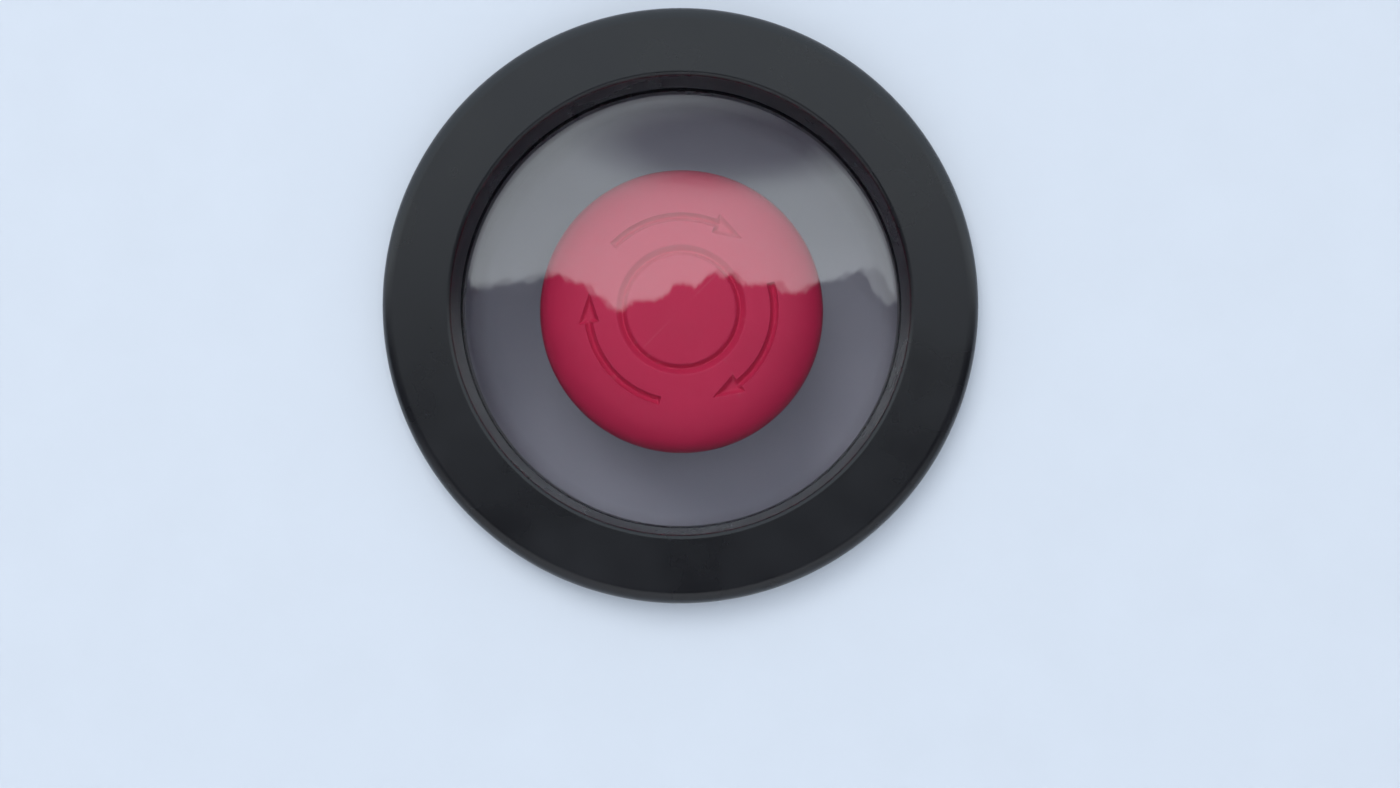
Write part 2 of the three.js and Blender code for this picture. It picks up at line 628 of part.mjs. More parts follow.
function barrelGeometry() {
  const sealPocket = SEAL_RADIUS + GAP;
  const body = revolve(
    [
      [sealPocket, COLLAR_FRONT],
      [COLLAR_RADIUS - COLLAR_CHAMFER, COLLAR_FRONT],
      [COLLAR_RADIUS, COLLAR_FRONT + COLLAR_CHAMFER],
      [COLLAR_RADIUS, COLLAR_BACK],
      [BARREL_RADIUS, COLLAR_BACK],
      [BARREL_RADIUS, BARREL_BACK],
      [CHAMBER_RADIUS, BARREL_BACK],
      [CHAMBER_RADIUS, CHAMBER_FRONT],
      [BARREL_BORE_RADIUS, CHAMBER_FRONT],
      [BARREL_BORE_RADIUS, SEAL_POCKET_BACK],
      [sealPocket, SEAL_POCKET_BACK],
    ],
    MEDIUM_FACETS,
  );
  const key = block(
    [-BARREL_KEY_WIDTH / 2, COLLAR_BACK - GAP, BARREL_RADIUS - GAP],
    [BARREL_KEY_WIDTH / 2, FLOOR_BACK, BARREL_HOLE_RADIUS + BARREL_KEY_HEIGHT - GAP],
  );
  const slotHeight = SLEEVE_RADIUS + SLEEVE_KEY_HEIGHT + GAP;
  const slots = block(
    [-slotHeight, SEAL_POCKET_BACK - GAP, -SLEEVE_KEY_WIDTH / 2 - GAP],
    [slotHeight, CHAMBER_FRONT + GAP, SLEEVE_KEY_WIDTH / 2 + GAP],
  );
  return shapeSolid(body, { joined: [key], cut: [slots] });
}

function bezelGasketGeometry() {
  return ring(BARREL_HOLE_RADIUS + BARREL_KEY_HEIGHT, COLLAR_RADIUS, COLLAR_BACK, FLOOR_FRONT, MEDIUM_FACETS);
}

function stemSealGeometry() {
  return ring(SLEEVE_RADIUS + GAP, SEAL_RADIUS, SEAL_FRONT, SEAL_BACK, MEDIUM_FACETS);
}

function sleeveGeometry() {
  const body = revolve(
    [
      [SLEEVE_BORE_RADIUS, SLEEVE_FRONT],
      [SLEEVE_RADIUS, SLEEVE_FRONT],
      [SLEEVE_RADIUS, SLEEVE_FLANGE_FRONT],
      [SLEEVE_FLANGE_RADIUS, SLEEVE_FLANGE_FRONT],
      [SLEEVE_FLANGE_RADIUS, SLEEVE_FLANGE_BACK],
      [TAIL_RADIUS, SLEEVE_FLANGE_BACK],
      [TAIL_RADIUS, TAIL_BACK],
      [COUNTERBORE_RADIUS, TAIL_BACK],
      [COUNTERBORE_RADIUS, COUNTERBORE_FRONT],
      [SLEEVE_BORE_RADIUS, COUNTERBORE_FRONT],
    ],
    MEDIUM_FACETS,
  );
  const keyReach = SLEEVE_RADIUS + SLEEVE_KEY_HEIGHT;
  const keyFront = SEAL_POCKET_BACK + GAP;
  const keys = [-1, 1].map((side) => {
    const ends = [side * (SLEEVE_RADIUS - GAP), side * keyReach];
    return block(
      [Math.min(...ends), keyFront, -SLEEVE_KEY_WIDTH / 2],
      [Math.max(...ends), SLEEVE_FLANGE_FRONT + GAP, SLEEVE_KEY_WIDTH / 2],
    );
  });
  const play = THREE.MathUtils.radToDeg(GAP / CAM_LUG_RADIUS);
  const from = 90 - CAM_LUG_ANGLE / 2 - play;
  const to = 90 + CAM_LUG_ANGLE / 2 + TWIST_ANGLE + play;
  const windows = around(2, () =>
    prism(
      sector(COUNTERBORE_RADIUS - GAP, TAIL_RADIUS + GAP, from, to, 4),
      COUNTERBORE_FRONT,
      CAM_BACK + GAP,
    ),
  );
  return shapeSolid(body, { joined: keys, cut: windows });
}

function camGeometry() {
  const flangeRadius = COUNTERBORE_RADIUS - GAP;
  const shaft = revolve(
    [
      [0, BOSS_BACK],
      [CAM_RADIUS, BOSS_BACK + GAP],
      [CAM_RADIUS, CAM_FLANGE_FRONT],
      [flangeRadius, CAM_FLANGE_FRONT],
      [flangeRadius, CAM_BACK],
      [0, CAM_BACK],
    ],
    MEDIUM_FACETS,
  );
  const stub = driveGeometry(CAM_STUB_RADIUS, CAM_STUB_FLATS, SOCKET_FRONT, BOSS_BACK + 2 * GAP);
  const from = 90 - CAM_LUG_ANGLE / 2;
  const to = 90 + CAM_LUG_ANGLE / 2;
  const lugs = around(2, () =>
    prism(sector(CAM_RADIUS, CAM_LUG_RADIUS, from, to, 3), CAM_FLANGE_FRONT, CAM_BACK),
  );
  return shapeSolid(shaft, { joined: [stub, ...lugs] });
}

function sleeveCapGeometry() {
  return ring(CAP_HOLE_RADIUS, COUNTERBORE_RADIUS - GAP / 3, CAP_FRONT, TAIL_BACK, MEDIUM_FACETS);
}

function returnSpringGeometry() {
  const coilRadius = (TAIL_RADIUS + CHAMBER_RADIUS) / 2;
  const front = SLEEVE_FLANGE_BACK + GAP;
  return coilSpring(coilRadius, RETURN_WIRE, front, WEB_FRONT - GAP, RETURN_TURNS, LARGE_COIL_FACETS);
}

function twistSpringGeometry() {
  const coilRadius = COUNTERBORE_RADIUS - GAP - TWIST_WIRE;
  return coilSpring(coilRadius, TWIST_WIRE, TWIST_SPRING_FRONT, TWIST_SPRING_BACK, TWIST_TURNS, LARGE_COIL_FACETS);
}

function lockWasherGeometry() {
  return ring(BARREL_RADIUS + GAP, WASHER_RADIUS, FLOOR_BACK, WASHER_BACK, MEDIUM_FACETS);
}

function barrelNutGeometry() {
  const hexagon = new THREE.CylinderGeometry(1, 1, NUT_LENGTH, 6)
    .scale(NUT_FLATS / Math.sqrt(3), 1, NUT_FLATS / Math.sqrt(3))
    .translate(0, (WASHER_BACK + NUT_BACK) / 2, 0);
  const bore = rod(BARREL_RADIUS + GAP, WASHER_BACK - GAP, NUT_BACK + GAP, MEDIUM_FACETS);
  return shapeSolid(hexagon, { cut: [bore] });
}

function carrierGeometry() {
  const outerHeight = BLOCK_HEIGHT + 2 * (GAP + ARM_THICKNESS);
  const socketFront = WEB_FRONT - CARRIER_SOCKET_LENGTH;
  const socketShape = roundedRectangle(CARRIER_WIDTH, CARRIER_SOCKET_HEIGHT, CARRIER_CORNER);
  const frameShape = roundedRectangle(CARRIER_WIDTH, outerHeight, CARRIER_CORNER);
  const insideShape = roundedRectangle(
    CARRIER_WIDTH - 2 * CARRIER_FRAME_WALL,
    outerHeight - 4 * CARRIER_FRAME_WALL,
    CARRIER_CORNER,
  );
  const arms = around(2, () =>
    block(
      [-ARM_WIDTH / 2, CARRIER_BACK - GAP, outerHeight / 2 - ARM_THICKNESS],
      [ARM_WIDTH / 2, CARRIER_BACK + ARM_LENGTH, outerHeight / 2],
    ),
  );
  const hooks = around(2, () =>
    block(
      [-ARM_WIDTH / 2, CARRIER_BACK + ARM_LENGTH - HOOK_LENGTH, outerHeight / 2 - ARM_THICKNESS - HOOK_DEPTH],
      [ARM_WIDTH / 2, CARRIER_BACK + ARM_LENGTH, outerHeight / 2 - ARM_THICKNESS / 2],
    ),
  );
  const screwHole = rod(
    CLAMP_SCREW_RADIUS + GAP / 2,
    -CARRIER_SOCKET_HEIGHT,
    CARRIER_SOCKET_HEIGHT,
    SMALL_FACETS,
  );
  return shapeSolid(prism(frameShape, WEB_FRONT, CARRIER_BACK), {
    joined: [prism(socketShape, socketFront, WEB_FRONT + GAP), ...arms, ...hooks],
    cut: [
      rod(BARREL_RADIUS + GAP, socketFront - GAP, WEB_FRONT, MEDIUM_FACETS),
      rod(WEB_HOLE_RADIUS, WEB_FRONT - GAP, WEB_BACK + GAP, MEDIUM_FACETS),
      prism(insideShape, WEB_BACK, CARRIER_BACK + GAP),
      screwHole.rotateX(Math.PI / 2).translate(0, WEB_FRONT - CARRIER_SOCKET_LENGTH / 2, 0),
    ],
  });
}

/** A clamp screw along +Z, with its tip at the barrel and a driver slot at its outer end. */
function clampScrewGeometry() {
  const tip = BARREL_RADIUS + GAP;
  const end = CARRIER_SOCKET_HEIGHT / 2 - GAP;
  const slot = block(
    [-CLAMP_SCREW_RADIUS - GAP, end - CLAMP_SCREW_SLOT_DEPTH, -CLAMP_SCREW_SLOT / 2],
    [CLAMP_SCREW_RADIUS + GAP, end + GAP, CLAMP_SCREW_SLOT / 2],
  );
  return shapeSolid(rod(CLAMP_SCREW_RADIUS, tip, end, SMALL_FACETS), { cut: [slot] }).rotateX(Math.PI / 2);
}

/** Moulded tray of one contact block, open at its outer side for assembly. */
function contactHousingGeometry() {
  const low = GAP;
  const high = GAP + BLOCK_WIDTH;
  const half = BLOCK_HEIGHT / 2;
  const stripHalf = STRIP_WIDTH / 2 + GAP;
  const open = high + GAP;
  const floor = low + BLOCK_WALL;
  const cuts = [
    block(
      [floor, BLOCK_FRONT + BLOCK_WALL, -CHAMBER_HALF_HEIGHT],
      [open, BLOCK_BACK - BLOCK_WALL, CHAMBER_HALF_HEIGHT],
    ),
    block([floor, SHELF_BACK, BLOCK_WALL - half], [open, BLOCK_BACK - BLOCK_WALL, half - BLOCK_WALL]),
    block(
      [PUSHER_OFFSET - PUSHER_SIZE / 2 - GAP, BLOCK_FRONT - GAP, -PUSHER_SIZE / 2 - GAP],
      [open, BLOCK_FRONT + BLOCK_WALL + GAP, PUSHER_SIZE / 2 + GAP],
    ),
  ];
  for (const side of [-1, 1]) {
    const screwZ = side * TERMINAL_OFFSET;
    const hookZ = [side * (half - HOOK_DEPTH - GAP), side * (half + GAP)];
    const entryZ = [side * (half - BLOCK_WALL - GAP), side * (half + GAP)];
    const hookFront = CARRIER_BACK + ARM_LENGTH - HOOK_LENGTH - GAP;
    cuts.push(
      rod(TERMINAL_SCREW_RADIUS + GAP, STRIP_BACK - TERMINAL_SCREW_LENGTH, SHELF_BACK + GAP, SMALL_FACETS)
        .translate(PUSHER_OFFSET, 0, screwZ),
      rod(TERMINAL_HEAD_RADIUS + GAP, BLOCK_BACK - BLOCK_WALL - GAP, BLOCK_BACK + GAP, SMALL_FACETS)
        .translate(PUSHER_OFFSET, 0, screwZ),
      block(
        [low - GAP, hookFront, Math.min(...hookZ)],
        [ARM_WIDTH / 2 + GAP, hookFront + HOOK_LENGTH + 2 * GAP, Math.max(...hookZ)],
      ),
      block(
        [PUSHER_OFFSET - stripHalf, STRIP_BACK, Math.min(...entryZ)],
        [PUSHER_OFFSET + stripHalf, STRIP_BACK + WIRE_ENTRY_LENGTH, Math.max(...entryZ)],
      ),
    );
  }
  return shapeSolid(block([low, BLOCK_FRONT, -half], [high, BLOCK_BACK, half]), { cut: cuts });
}

function contactCoverGeometry() {
  const low = 2 * GAP + BLOCK_WIDTH;
  const half = BLOCK_HEIGHT / 2;
  return block([low, BLOCK_FRONT, -half], [low + COVER_THICKNESS, BLOCK_BACK, half]);
}

/** Square plunger of one contact block, with a window for the bridge. */
function contactPusherGeometry() {
  const half = PUSHER_SIZE / 2;
  const bridgeHalf = BRIDGE_WIDTH / 2 + GAP;
  const body = block(
    [PUSHER_OFFSET - half, PUSHER_FRONT, -half],
    [PUSHER_OFFSET + half, PUSHER_BACK, half],
  );
  const window = block(
    [PUSHER_OFFSET - bridgeHalf, BRIDGE_FRONT - GAP, -half - GAP],
    [PUSHER_OFFSET + bridgeHalf, BRIDGE_FRONT + BRIDGE_THICKNESS + GAP, half + GAP],
  );
  return shapeSolid(body, { cut: [window] });
}

function contactBridgeGeometry() {
  return block(
    [PUSHER_OFFSET - BRIDGE_WIDTH / 2, BRIDGE_FRONT, -BRIDGE_LENGTH / 2],
    [PUSHER_OFFSET + BRIDGE_WIDTH / 2, BRIDGE_FRONT + BRIDGE_THICKNESS, BRIDGE_LENGTH / 2],
  );
}

function contactSpringGeometry() {
  const back = BLOCK_BACK - BLOCK_WALL - GAP;
  return coilSpring(CONTACT_COIL_RADIUS, CONTACT_WIRE, PUSHER_BACK + GAP, back, CONTACT_TURNS, SMALL_COIL_FACETS)
    .translate(PUSHER_OFFSET, 0, 0);
}

/** Fixed contact strip on the +Z side, with its contact tip and a hole for the terminal screw. */
function terminalGeometry() {
  const inner = CHAMBER_HALF_HEIGHT - STRIP_OVERHANG;
  const outer = BLOCK_HEIGHT / 2 - BLOCK_WALL - GAP;
  const strip = block([-STRIP_WIDTH / 2, STRIP_FRONT, inner], [STRIP_WIDTH / 2, STRIP_BACK, outer]);
  const tip = rod(TIP_RADIUS, STRIP_BACK - GAP, STRIP_BACK + TIP_HEIGHT, SMALL_FACETS)
    .translate(0, 0, inner + TIP_RADIUS);
  const hole = rod(TERMINAL_SCREW_RADIUS + GAP / 2, STRIP_FRONT - GAP, STRIP_BACK + GAP, SMALL_FACETS)
    .translate(0, 0, TERMINAL_OFFSET);
  return shapeSolid(strip, { joined: [tip], cut: [hole] });
}

/** Terminal screw on the Y axis, with a slotted head at its back. */
function terminalScrewGeometry() {
  const back = TERMINAL_HEAD_FRONT + TERMINAL_HEAD_LENGTH;
  const front = STRIP_BACK + GAP - TERMINAL_SCREW_LENGTH;
  const screw = revolve(
    [
      [0, front],
      [TERMINAL_SCREW_RADIUS, front],
      [TERMINAL_SCREW_RADIUS, TERMINAL_HEAD_FRONT],
      [TERMINAL_HEAD_RADIUS, TERMINAL_HEAD_FRONT],
      [TERMINAL_HEAD_RADIUS, back],
      [0, back],
    ],
    SMALL_FACETS,
  );
  const slot = block(
    [-TERMINAL_HEAD_RADIUS - GAP, back - TERMINAL_SLOT_DEPTH, -TERMINAL_SLOT / 2],
    [TERMINAL_HEAD_RADIUS + GAP, back + GAP, TERMINAL_SLOT / 2],
  );
  return shapeSolid(screw, { cut: [slot] });
}

/** Adds one named piece to a group, with a material of its own. */
function addPiece(group, name, geometry, [color, roughness, metalness]) {
  const mesh = new THREE.Mesh(geometry, new THREE.MeshStandardMaterial({ color, roughness, metalness }));
  mesh.name = name;
  group.add(mesh);
  return mesh;
}

// Finishes: colour, roughness, metalness
const BLACK_RUBBER = [0x1d1e20, 0.6, 0];
const CLEAR_PLASTIC = [0xcdd6dc, 0.08, 0];
const RED_PLASTIC = [0xb01828, 0.4, 0];
const GREY_PLASTIC = [0x77757e, 0.6, 0];
const BLACK_PLASTIC = [0x26272a, 0.5, 0];
const WHITE_PLASTIC = [0xd8d6cf, 0.5, 0];
const STEEL = [0xa9adb2, 0.35, 1];
const BRASS = [0xb8944e, 0.35, 1];

/** The window that is pulled off to reach the head: the surround with its pane. */
function buildWindow() {
  const group = new THREE.Group();
  addPiece(group, "surround", surroundGeometry(), BLACK_RUBBER);
  addPiece(group, "pane", paneGeometry(), CLEAR_PLASTIC);
  return group;
}

/** The cup, with what fixes it to the panel. */
function buildCup() {
  const group = new THREE.Group();
  addPiece(group, "cup", cupGeometry(), GREY_PLASTIC);
  addPiece(group, "panel_gasket", panelGasketGeometry(), BLACK_RUBBER);
  addPiece(group, "ring_nut", ringNutGeometry(), BLACK_PLASTIC);
  return group;
}

/** The operator: head, sleeve and cam that move, in the barrel that is fixed in the cup's floor. */
function buildOperator() {
  const group = new THREE.Group();
  addPiece(group, "mushroom_head", headGeometry(), RED_PLASTIC);
  addPiece(group, "release_cam", camGeometry(), WHITE_PLASTIC);
  addPiece(group, "push_sleeve", sleeveGeometry(), BLACK_PLASTIC);
  addPiece(group, "sleeve_cap", sleeveCapGeometry(), BLACK_PLASTIC);
  addPiece(group, "return_spring", returnSpringGeometry(), STEEL);
  addPiece(group, "twist_spring", twistSpringGeometry(), STEEL);
  addPiece(group, "operator_barrel", barrelGeometry(), BLACK_PLASTIC);
  addPiece(group, "bezel_gasket", bezelGasketGeometry(), BLACK_RUBBER);
  addPiece(group, "stem_seal", stemSealGeometry(), BLACK_RUBBER);
  addPiece(group, "lock_washer", lockWasherGeometry(), STEEL);
  addPiece(group, "barrel_nut", barrelNutGeometry(), BLACK_PLASTIC);
  return group;
}

/** The carrier behind the barrel, with the two screws that clamp it. */
function buildCarrier() {
  const group = new THREE.Group();
  addPiece(group, "contact_carrier", carrierGeometry(), WHITE_PLASTIC);
  for (let i = 0; i < 2; i += 1) {
    const screw = addPiece(group, `clamp_screw_${i + 1}`, clampScrewGeometry(), STEEL);
    screw.position.y = WEB_FRONT - CARRIER_SOCKET_LENGTH / 2;
    screw.rotation.y = Math.PI * i;
  }
  return group;
}

/** One contact block, on the +X side of the axis. */
function buildContactBlock(number) {
  const group = new THREE.Group();
  addPiece(group, `contact_housing_${number}`, contactHousingGeometry(), BLACK_PLASTIC);
  addPiece(group, `contact_cover_${number}`, contactCoverGeometry(), GREY_PLASTIC);
  addPiece(group, `contact_pusher_${number}`, contactPusherGeometry(), RED_PLASTIC);
  addPiece(group, `contact_bridge_${number}`, contactBridgeGeometry(), BRASS);
  addPiece(group, `contact_spring_${number}`, contactSpringGeometry(), STEEL);
  ["a", "b"].forEach((side, i) => {
    const terminalGroup = new THREE.Group();
    addPiece(terminalGroup, `terminal_${number}${side}`, terminalGeometry(), BRASS);
    const screw = addPiece(terminalGroup, `terminal_screw_${number}${side}`, terminalScrewGeometry(), STEEL);
    screw.position.z = TERMINAL_OFFSET;
    terminalGroup.rotation.y = Math.PI * i;
    terminalGroup.position.x = PUSHER_OFFSET;
    group.add(terminalGroup);
  });
  return group;
}

const button = new THREE.Group();
button.add(buildWindow(), buildCup(), buildOperator(), buildCarrier());
for (let i = 0; i < BLOCK_COUNT; i += 1) {
  const contactBlock = buildContactBlock(i + 1);
  contactBlock.rotation.y = Math.PI * i;
  button.add(contactBlock);
}

export default button;
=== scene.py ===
"""Looks of the recessed emergency call button, laid out as a Blender add-on."""

import math

import bmesh
import bpy
import numpy as np
from bpy.props import FloatProperty, FloatVectorProperty, IntProperty, PointerProperty
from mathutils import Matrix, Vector


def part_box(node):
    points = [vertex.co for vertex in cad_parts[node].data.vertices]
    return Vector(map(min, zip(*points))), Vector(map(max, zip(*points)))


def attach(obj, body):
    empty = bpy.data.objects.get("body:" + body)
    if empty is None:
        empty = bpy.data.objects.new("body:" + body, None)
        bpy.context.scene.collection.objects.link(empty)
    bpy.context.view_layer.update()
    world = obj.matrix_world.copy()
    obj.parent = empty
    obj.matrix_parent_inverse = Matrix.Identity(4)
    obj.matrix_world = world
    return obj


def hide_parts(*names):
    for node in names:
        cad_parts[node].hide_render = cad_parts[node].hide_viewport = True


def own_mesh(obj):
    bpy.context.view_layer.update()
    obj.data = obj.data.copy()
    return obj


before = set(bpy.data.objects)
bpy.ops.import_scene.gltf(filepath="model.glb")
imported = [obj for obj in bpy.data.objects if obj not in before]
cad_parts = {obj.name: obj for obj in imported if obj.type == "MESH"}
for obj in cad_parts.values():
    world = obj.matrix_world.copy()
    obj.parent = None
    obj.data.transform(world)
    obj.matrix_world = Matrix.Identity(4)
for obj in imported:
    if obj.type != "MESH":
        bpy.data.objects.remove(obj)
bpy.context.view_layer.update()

bl_info = {
    "name": "Emergency call button",
    "version": (1, 0, 0),
    "blender": (4, 5, 0),
    "location": "3D View > Sidebar > Call Button",
    "description": "Builds a recessed emergency call button piece by piece",
    "category": "Object",
}

MM = 0.001
PHOTO_WIDTH = 1400

# Places of the colour sockets on a Mix node
MIX_FACTOR, MIX_FIRST, MIX_SECOND, MIX_COLOUR = 0, 6, 7, 2

BROAD_SCALE = 90
GRAIN_DETAIL = 6
GRAIN_HEIGHT = 0.02 * MM
WORN_LEVEL = 0.7
EDGE_START, EDGE_FULL = 0.52, 0.6

WARM, COOL = (1.0, 0.99, 0.97), (0.95, 0.97, 1.0)
LAMPS = (
    # name, place, aim, size, power, tint, whether gloss and glass show it
    ("key", (-0.35, -1.3, 0.85), (0, 0, 0), 0.9, 9.5, WARM, False),
    ("fill", (0.0, -1.5, 0.1), (0, 0, 0), 1.0, 8, COOL, False),
    ("rear_key", (-0.6, 0.9, 0.9), (0, 0.04, 0), 0.9, 9, WARM, True),
    ("rear_fill", (0.9, 0.7, 0.1), (0, 0.04, 0), 0.8, 4, COOL, True),
)
CLOUD_SCALE, CLOUD_PLACE, CLOUD_EDGE = (11, 0, 34), (-0.15, 0, -4.9), (0.05, 0.5)
SKY_FADE, LIGHT_FADE = (0.05, 0.35), (-0.6, 0.6)
HILLS_DETAIL, HILLS_EDGE = 5, 0.0025


def length(name, description, default):
    """A size in metres."""
    return FloatProperty(
        name=name, description=description, default=default, min=0.0, unit="LENGTH", precision=5
    )


def depth(name, description, default):
    """A place along the axis in metres, positive behind the panel."""
    return FloatProperty(name=name, description=description, default=default, unit="LENGTH", precision=5)


def colour(name, description, default):
    """A colour as the eye sees the plain material."""
    return FloatVectorProperty(
        name=name, description=description, default=default, min=0.0, max=1.0, size=3, subtype="COLOR"
    )


def amount(name, description, default):
    """A plain number."""
    return FloatProperty(name=name, description=description, default=default)


def widest(node):
    """Largest radius of a round CAD piece."""
    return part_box(node)[1].x


def front(node):
    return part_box(node)[0].y


def back(node):
    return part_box(node)[1].y


# Meshes


def arc(across, along, radius, start, end, steps):
    """Points of an arc in an outline, between two angles in degrees."""
    turns = [math.radians(start + (end - start) * i / steps) for i in range(steps + 1)]
    return [(across + radius * math.cos(t), along + radius * math.sin(t)) for t in turns]


def eased(outline, size, steps=3):
    """A closed outline with its corners rounded; a corner may carry its own size as a third number."""
    points = []
    for i, corner in enumerate(outline):
        here = Vector(corner[:2])
        before = Vector(outline[i - 1][:2]) - here
        after = Vector(outline[(i + 1) % len(outline)][:2]) - here
        reach = min(corner[2] if len(corner) > 2 else size, 0.45 * before.length, 0.45 * after.length)
        if here.x < 1e-9 or reach < 1e-6 or before.angle(after) > math.radians(168):
            points.append(tuple(here))
            continue
        start = here + before.normalized() * reach
        end = here + after.normalized() * reach
        for step in range(steps + 1):
            t = step / steps
            points.append(tuple(start * (1 - t) ** 2 + here * 2 * t * (1 - t) + end * t * t))
    return points


def turned(outline, around=192, reshape=None):
    """Mesh turned about Y from an outline of (radius, depth); reshape may move its points."""
    if isinstance(around, int):
        around = np.linspace(0, 2 * math.pi, around, endpoint=False)
    angles = np.array(around)
    points = np.array(outline, float)
    radius = np.repeat(points[:, :1], len(angles), axis=1)
    along = np.repeat(points[:, 1:2], len(angles), axis=1)
    turn = np.repeat(angles[None, :], len(points), axis=0)
    if reshape:
        radius, along = reshape(radius, along, turn)
    corners = np.stack([radius * np.sin(turn), along, radius * np.cos(turn)], axis=-1).reshape(-1, 3)
    rows = len(points) if points[0, 0] > 1e-9 else len(points) - 1
    count = len(angles)
    faces = []
    for row in range(rows):
        above, below = row * count, (row + 1) % len(points) * count
        for i in range(count):
            j = (i + 1) % count
            faces.append((above + i, above + j, below + j, below + i))
    return closed_mesh(corners.tolist(), faces)


def closed_mesh(corners, faces):
    """Mesh with its doubled corners joined and its faces turned outwards."""
    mesh = bpy.data.meshes.new("piece")
    mesh.from_pydata(corners, [], faces)
    shape = bmesh.new()
    shape.from_mesh(mesh)
    bmesh.ops.remove_doubles(shape, verts=shape.verts, dist=1e-7)
    bmesh.ops.recalc_face_normals(shape, faces=shape.faces)
    shape.to_mesh(mesh)
    shape.free()
    return mesh


def box_mesh(low, high):
    """Mesh of a box between two corners."""
    xs, ys, zs = zip(low, high)
    corners = [(x, y, z) for x in xs for y in ys for z in zs]
    faces = [(0, 1, 3, 2), (4, 6, 7, 5), (0, 4, 5, 1), (2, 3, 7, 6), (0, 2, 6, 4), (1, 5, 7, 3)]
    return closed_mesh(corners, faces)


def rod_mesh(radius, start, end, centre=(0, 0), around=48):
    """Mesh of a cylinder along Y."""
    mesh = turned([(0, start), (radius, start), (radius, end), (0, end)], around)
    for corner in mesh.vertices:
        corner.co.x += centre[0]
        corner.co.z += centre[1]
    return mesh


def sharp_edges(shape, degrees):
    """Edges where two faces meet at more than an angle."""
    least = math.radians(degrees)
    return [e for e in shape.edges if len(e.link_faces) == 2 and e.calc_face_angle() > least]


def softened(mesh, width, degrees=35, steps=2):
    """The mesh with its flat faces whole and its sharp edges rounded."""
    shape = bmesh.new()
    shape.from_mesh(mesh)
    bmesh.ops.remove_doubles(shape, verts=shape.verts, dist=2e-6)
    bmesh.ops.dissolve_limit(
        shape, angle_limit=math.radians(0.5), verts=shape.verts, edges=shape.edges, delimit={"NORMAL"}
    )
    bmesh.ops.bevel(
        shape,
        geom=sharp_edges(shape, degrees),
        offset=width,
        segments=steps,
        profile=0.5,
        affect="EDGES",
        clamp_overlap=True,
    )
    result = bpy.data.meshes.new("piece")
    shape.to_mesh(result)
    shape.free()
    return result


def combined(mesh, cut=(), joined=()):
    """The mesh with other meshes joined to it and cut from it."""
    scene = bpy.context.scene.collection
    body = bpy.data.objects.new("body", mesh)
    scene.objects.link(body)
    tools = []
    for operation, others in (("UNION", joined), ("DIFFERENCE", cut)):
        for other in others:
            tool = bpy.data.objects.new("tool", other)
            scene.objects.link(tool)
            tools.append(tool)
            step = body.modifiers.new("step", "BOOLEAN")
            step.operation = operation
            step.object = tool
            step.solver = "EXACT"
    bpy.context.view_layer.update()
    whole = body.evaluated_get(bpy.context.evaluated_depsgraph_get())
    result = bpy.data.meshes.new_from_object(whole)
    for tool in [*tools, body]:
        bpy.data.objects.remove(tool)
    return result


def rotated(mesh, degrees):
    """A copy of the mesh turned about the Y axis, clockwise from the front."""
    copy = mesh.copy()
    turn = math.radians(degrees)
    for corner in copy.vertices:
        x, z = corner.co.x, corner.co.z
        corner.co.x = x * math.cos(turn) + z * math.sin(turn)
        corner.co.z = z * math.cos(turn) - x * math.sin(turn)
    return copy


def together(meshes):
    """One mesh of several that are left as they are."""
    shape = bmesh.new()
    for mesh in meshes:
        shape.from_mesh(mesh)
    result = bpy.data.meshes.new("piece")
    shape.to_mesh(result)
    shape.free()
    return result


def coil_mesh(radius, wire, start, end, turns, centre=(0, 0), per_turn=48, sides=12):
    """Mesh of a compression spring along Y, with closed end turns."""
    close = min(1.25 * wire, (end - start - wire) / turns)
    steps = int(turns * per_turn)
    turn = np.linspace(0, turns, steps + 1)
    open_turns = turns - 2
    open_pitch = (end - start - wire - 2 * close) / open_turns
    closed_turn = np.minimum(turn, 1) + np.maximum(turn - 1 - open_turns, 0)
    along = start + wire / 2 + closed_turn * close + np.clip(turn - 1, 0, open_turns) * open_pitch
    angle = 2 * math.pi * turn
    side = 2 * math.pi * np.arange(sides) / sides
    reach = radius + wire / 2 * np.cos(side)[None, :]
    lift = wire / 2 * np.sin(side)[None, :]
    x = centre[0] + reach * np.sin(angle)[:, None]
    y = along[:, None] + lift
    z = centre[1] + reach * np.cos(angle)[:, None]
    corners = np.stack([x, y, z], axis=-1).reshape(-1, 3).tolist()
    faces = [tuple(range(sides)), tuple(reversed(range(steps * sides, (steps + 1) * sides)))]
    for i in range(steps):
        for j in range(sides):
            k = (j + 1) % sides
            faces.append((i * sides + j, i * sides + k, (i + 1) * sides + k, (i + 1) * sides + j))
    return closed_mesh(corners, faces)


# Finishes


def blend_node(tree, factor, first, second):
    """Mixes two colours, each a plain colour or the output of a node."""
    mix = tree.nodes.new("ShaderNodeMix")
    mix.data_type = "RGBA"
    tree.links.new(factor, mix.inputs[MIX_FACTOR])
    for place, tint in ((MIX_FIRST, first), (MIX_SECOND, second)):
        if isinstance(tint, bpy.types.NodeSocket):
            tree.links.new(tint, mix.inputs[place])
        else:
            mix.inputs[place].default_value = (*tint, 1)
    return mix.outputs[MIX_COLOUR]


def noise_node(tree, scale, detail=4.0):
    place = tree.nodes.new("ShaderNodeTexCoord")
    noise = tree.nodes.new("ShaderNodeTexNoise")
    noise.inputs["Scale"].default_value = scale
    noise.inputs["Detail"].default_value = detail
    tree.links.new(place.outputs["Object"], noise.inputs["Vector"])
    return noise.outputs["Fac"]


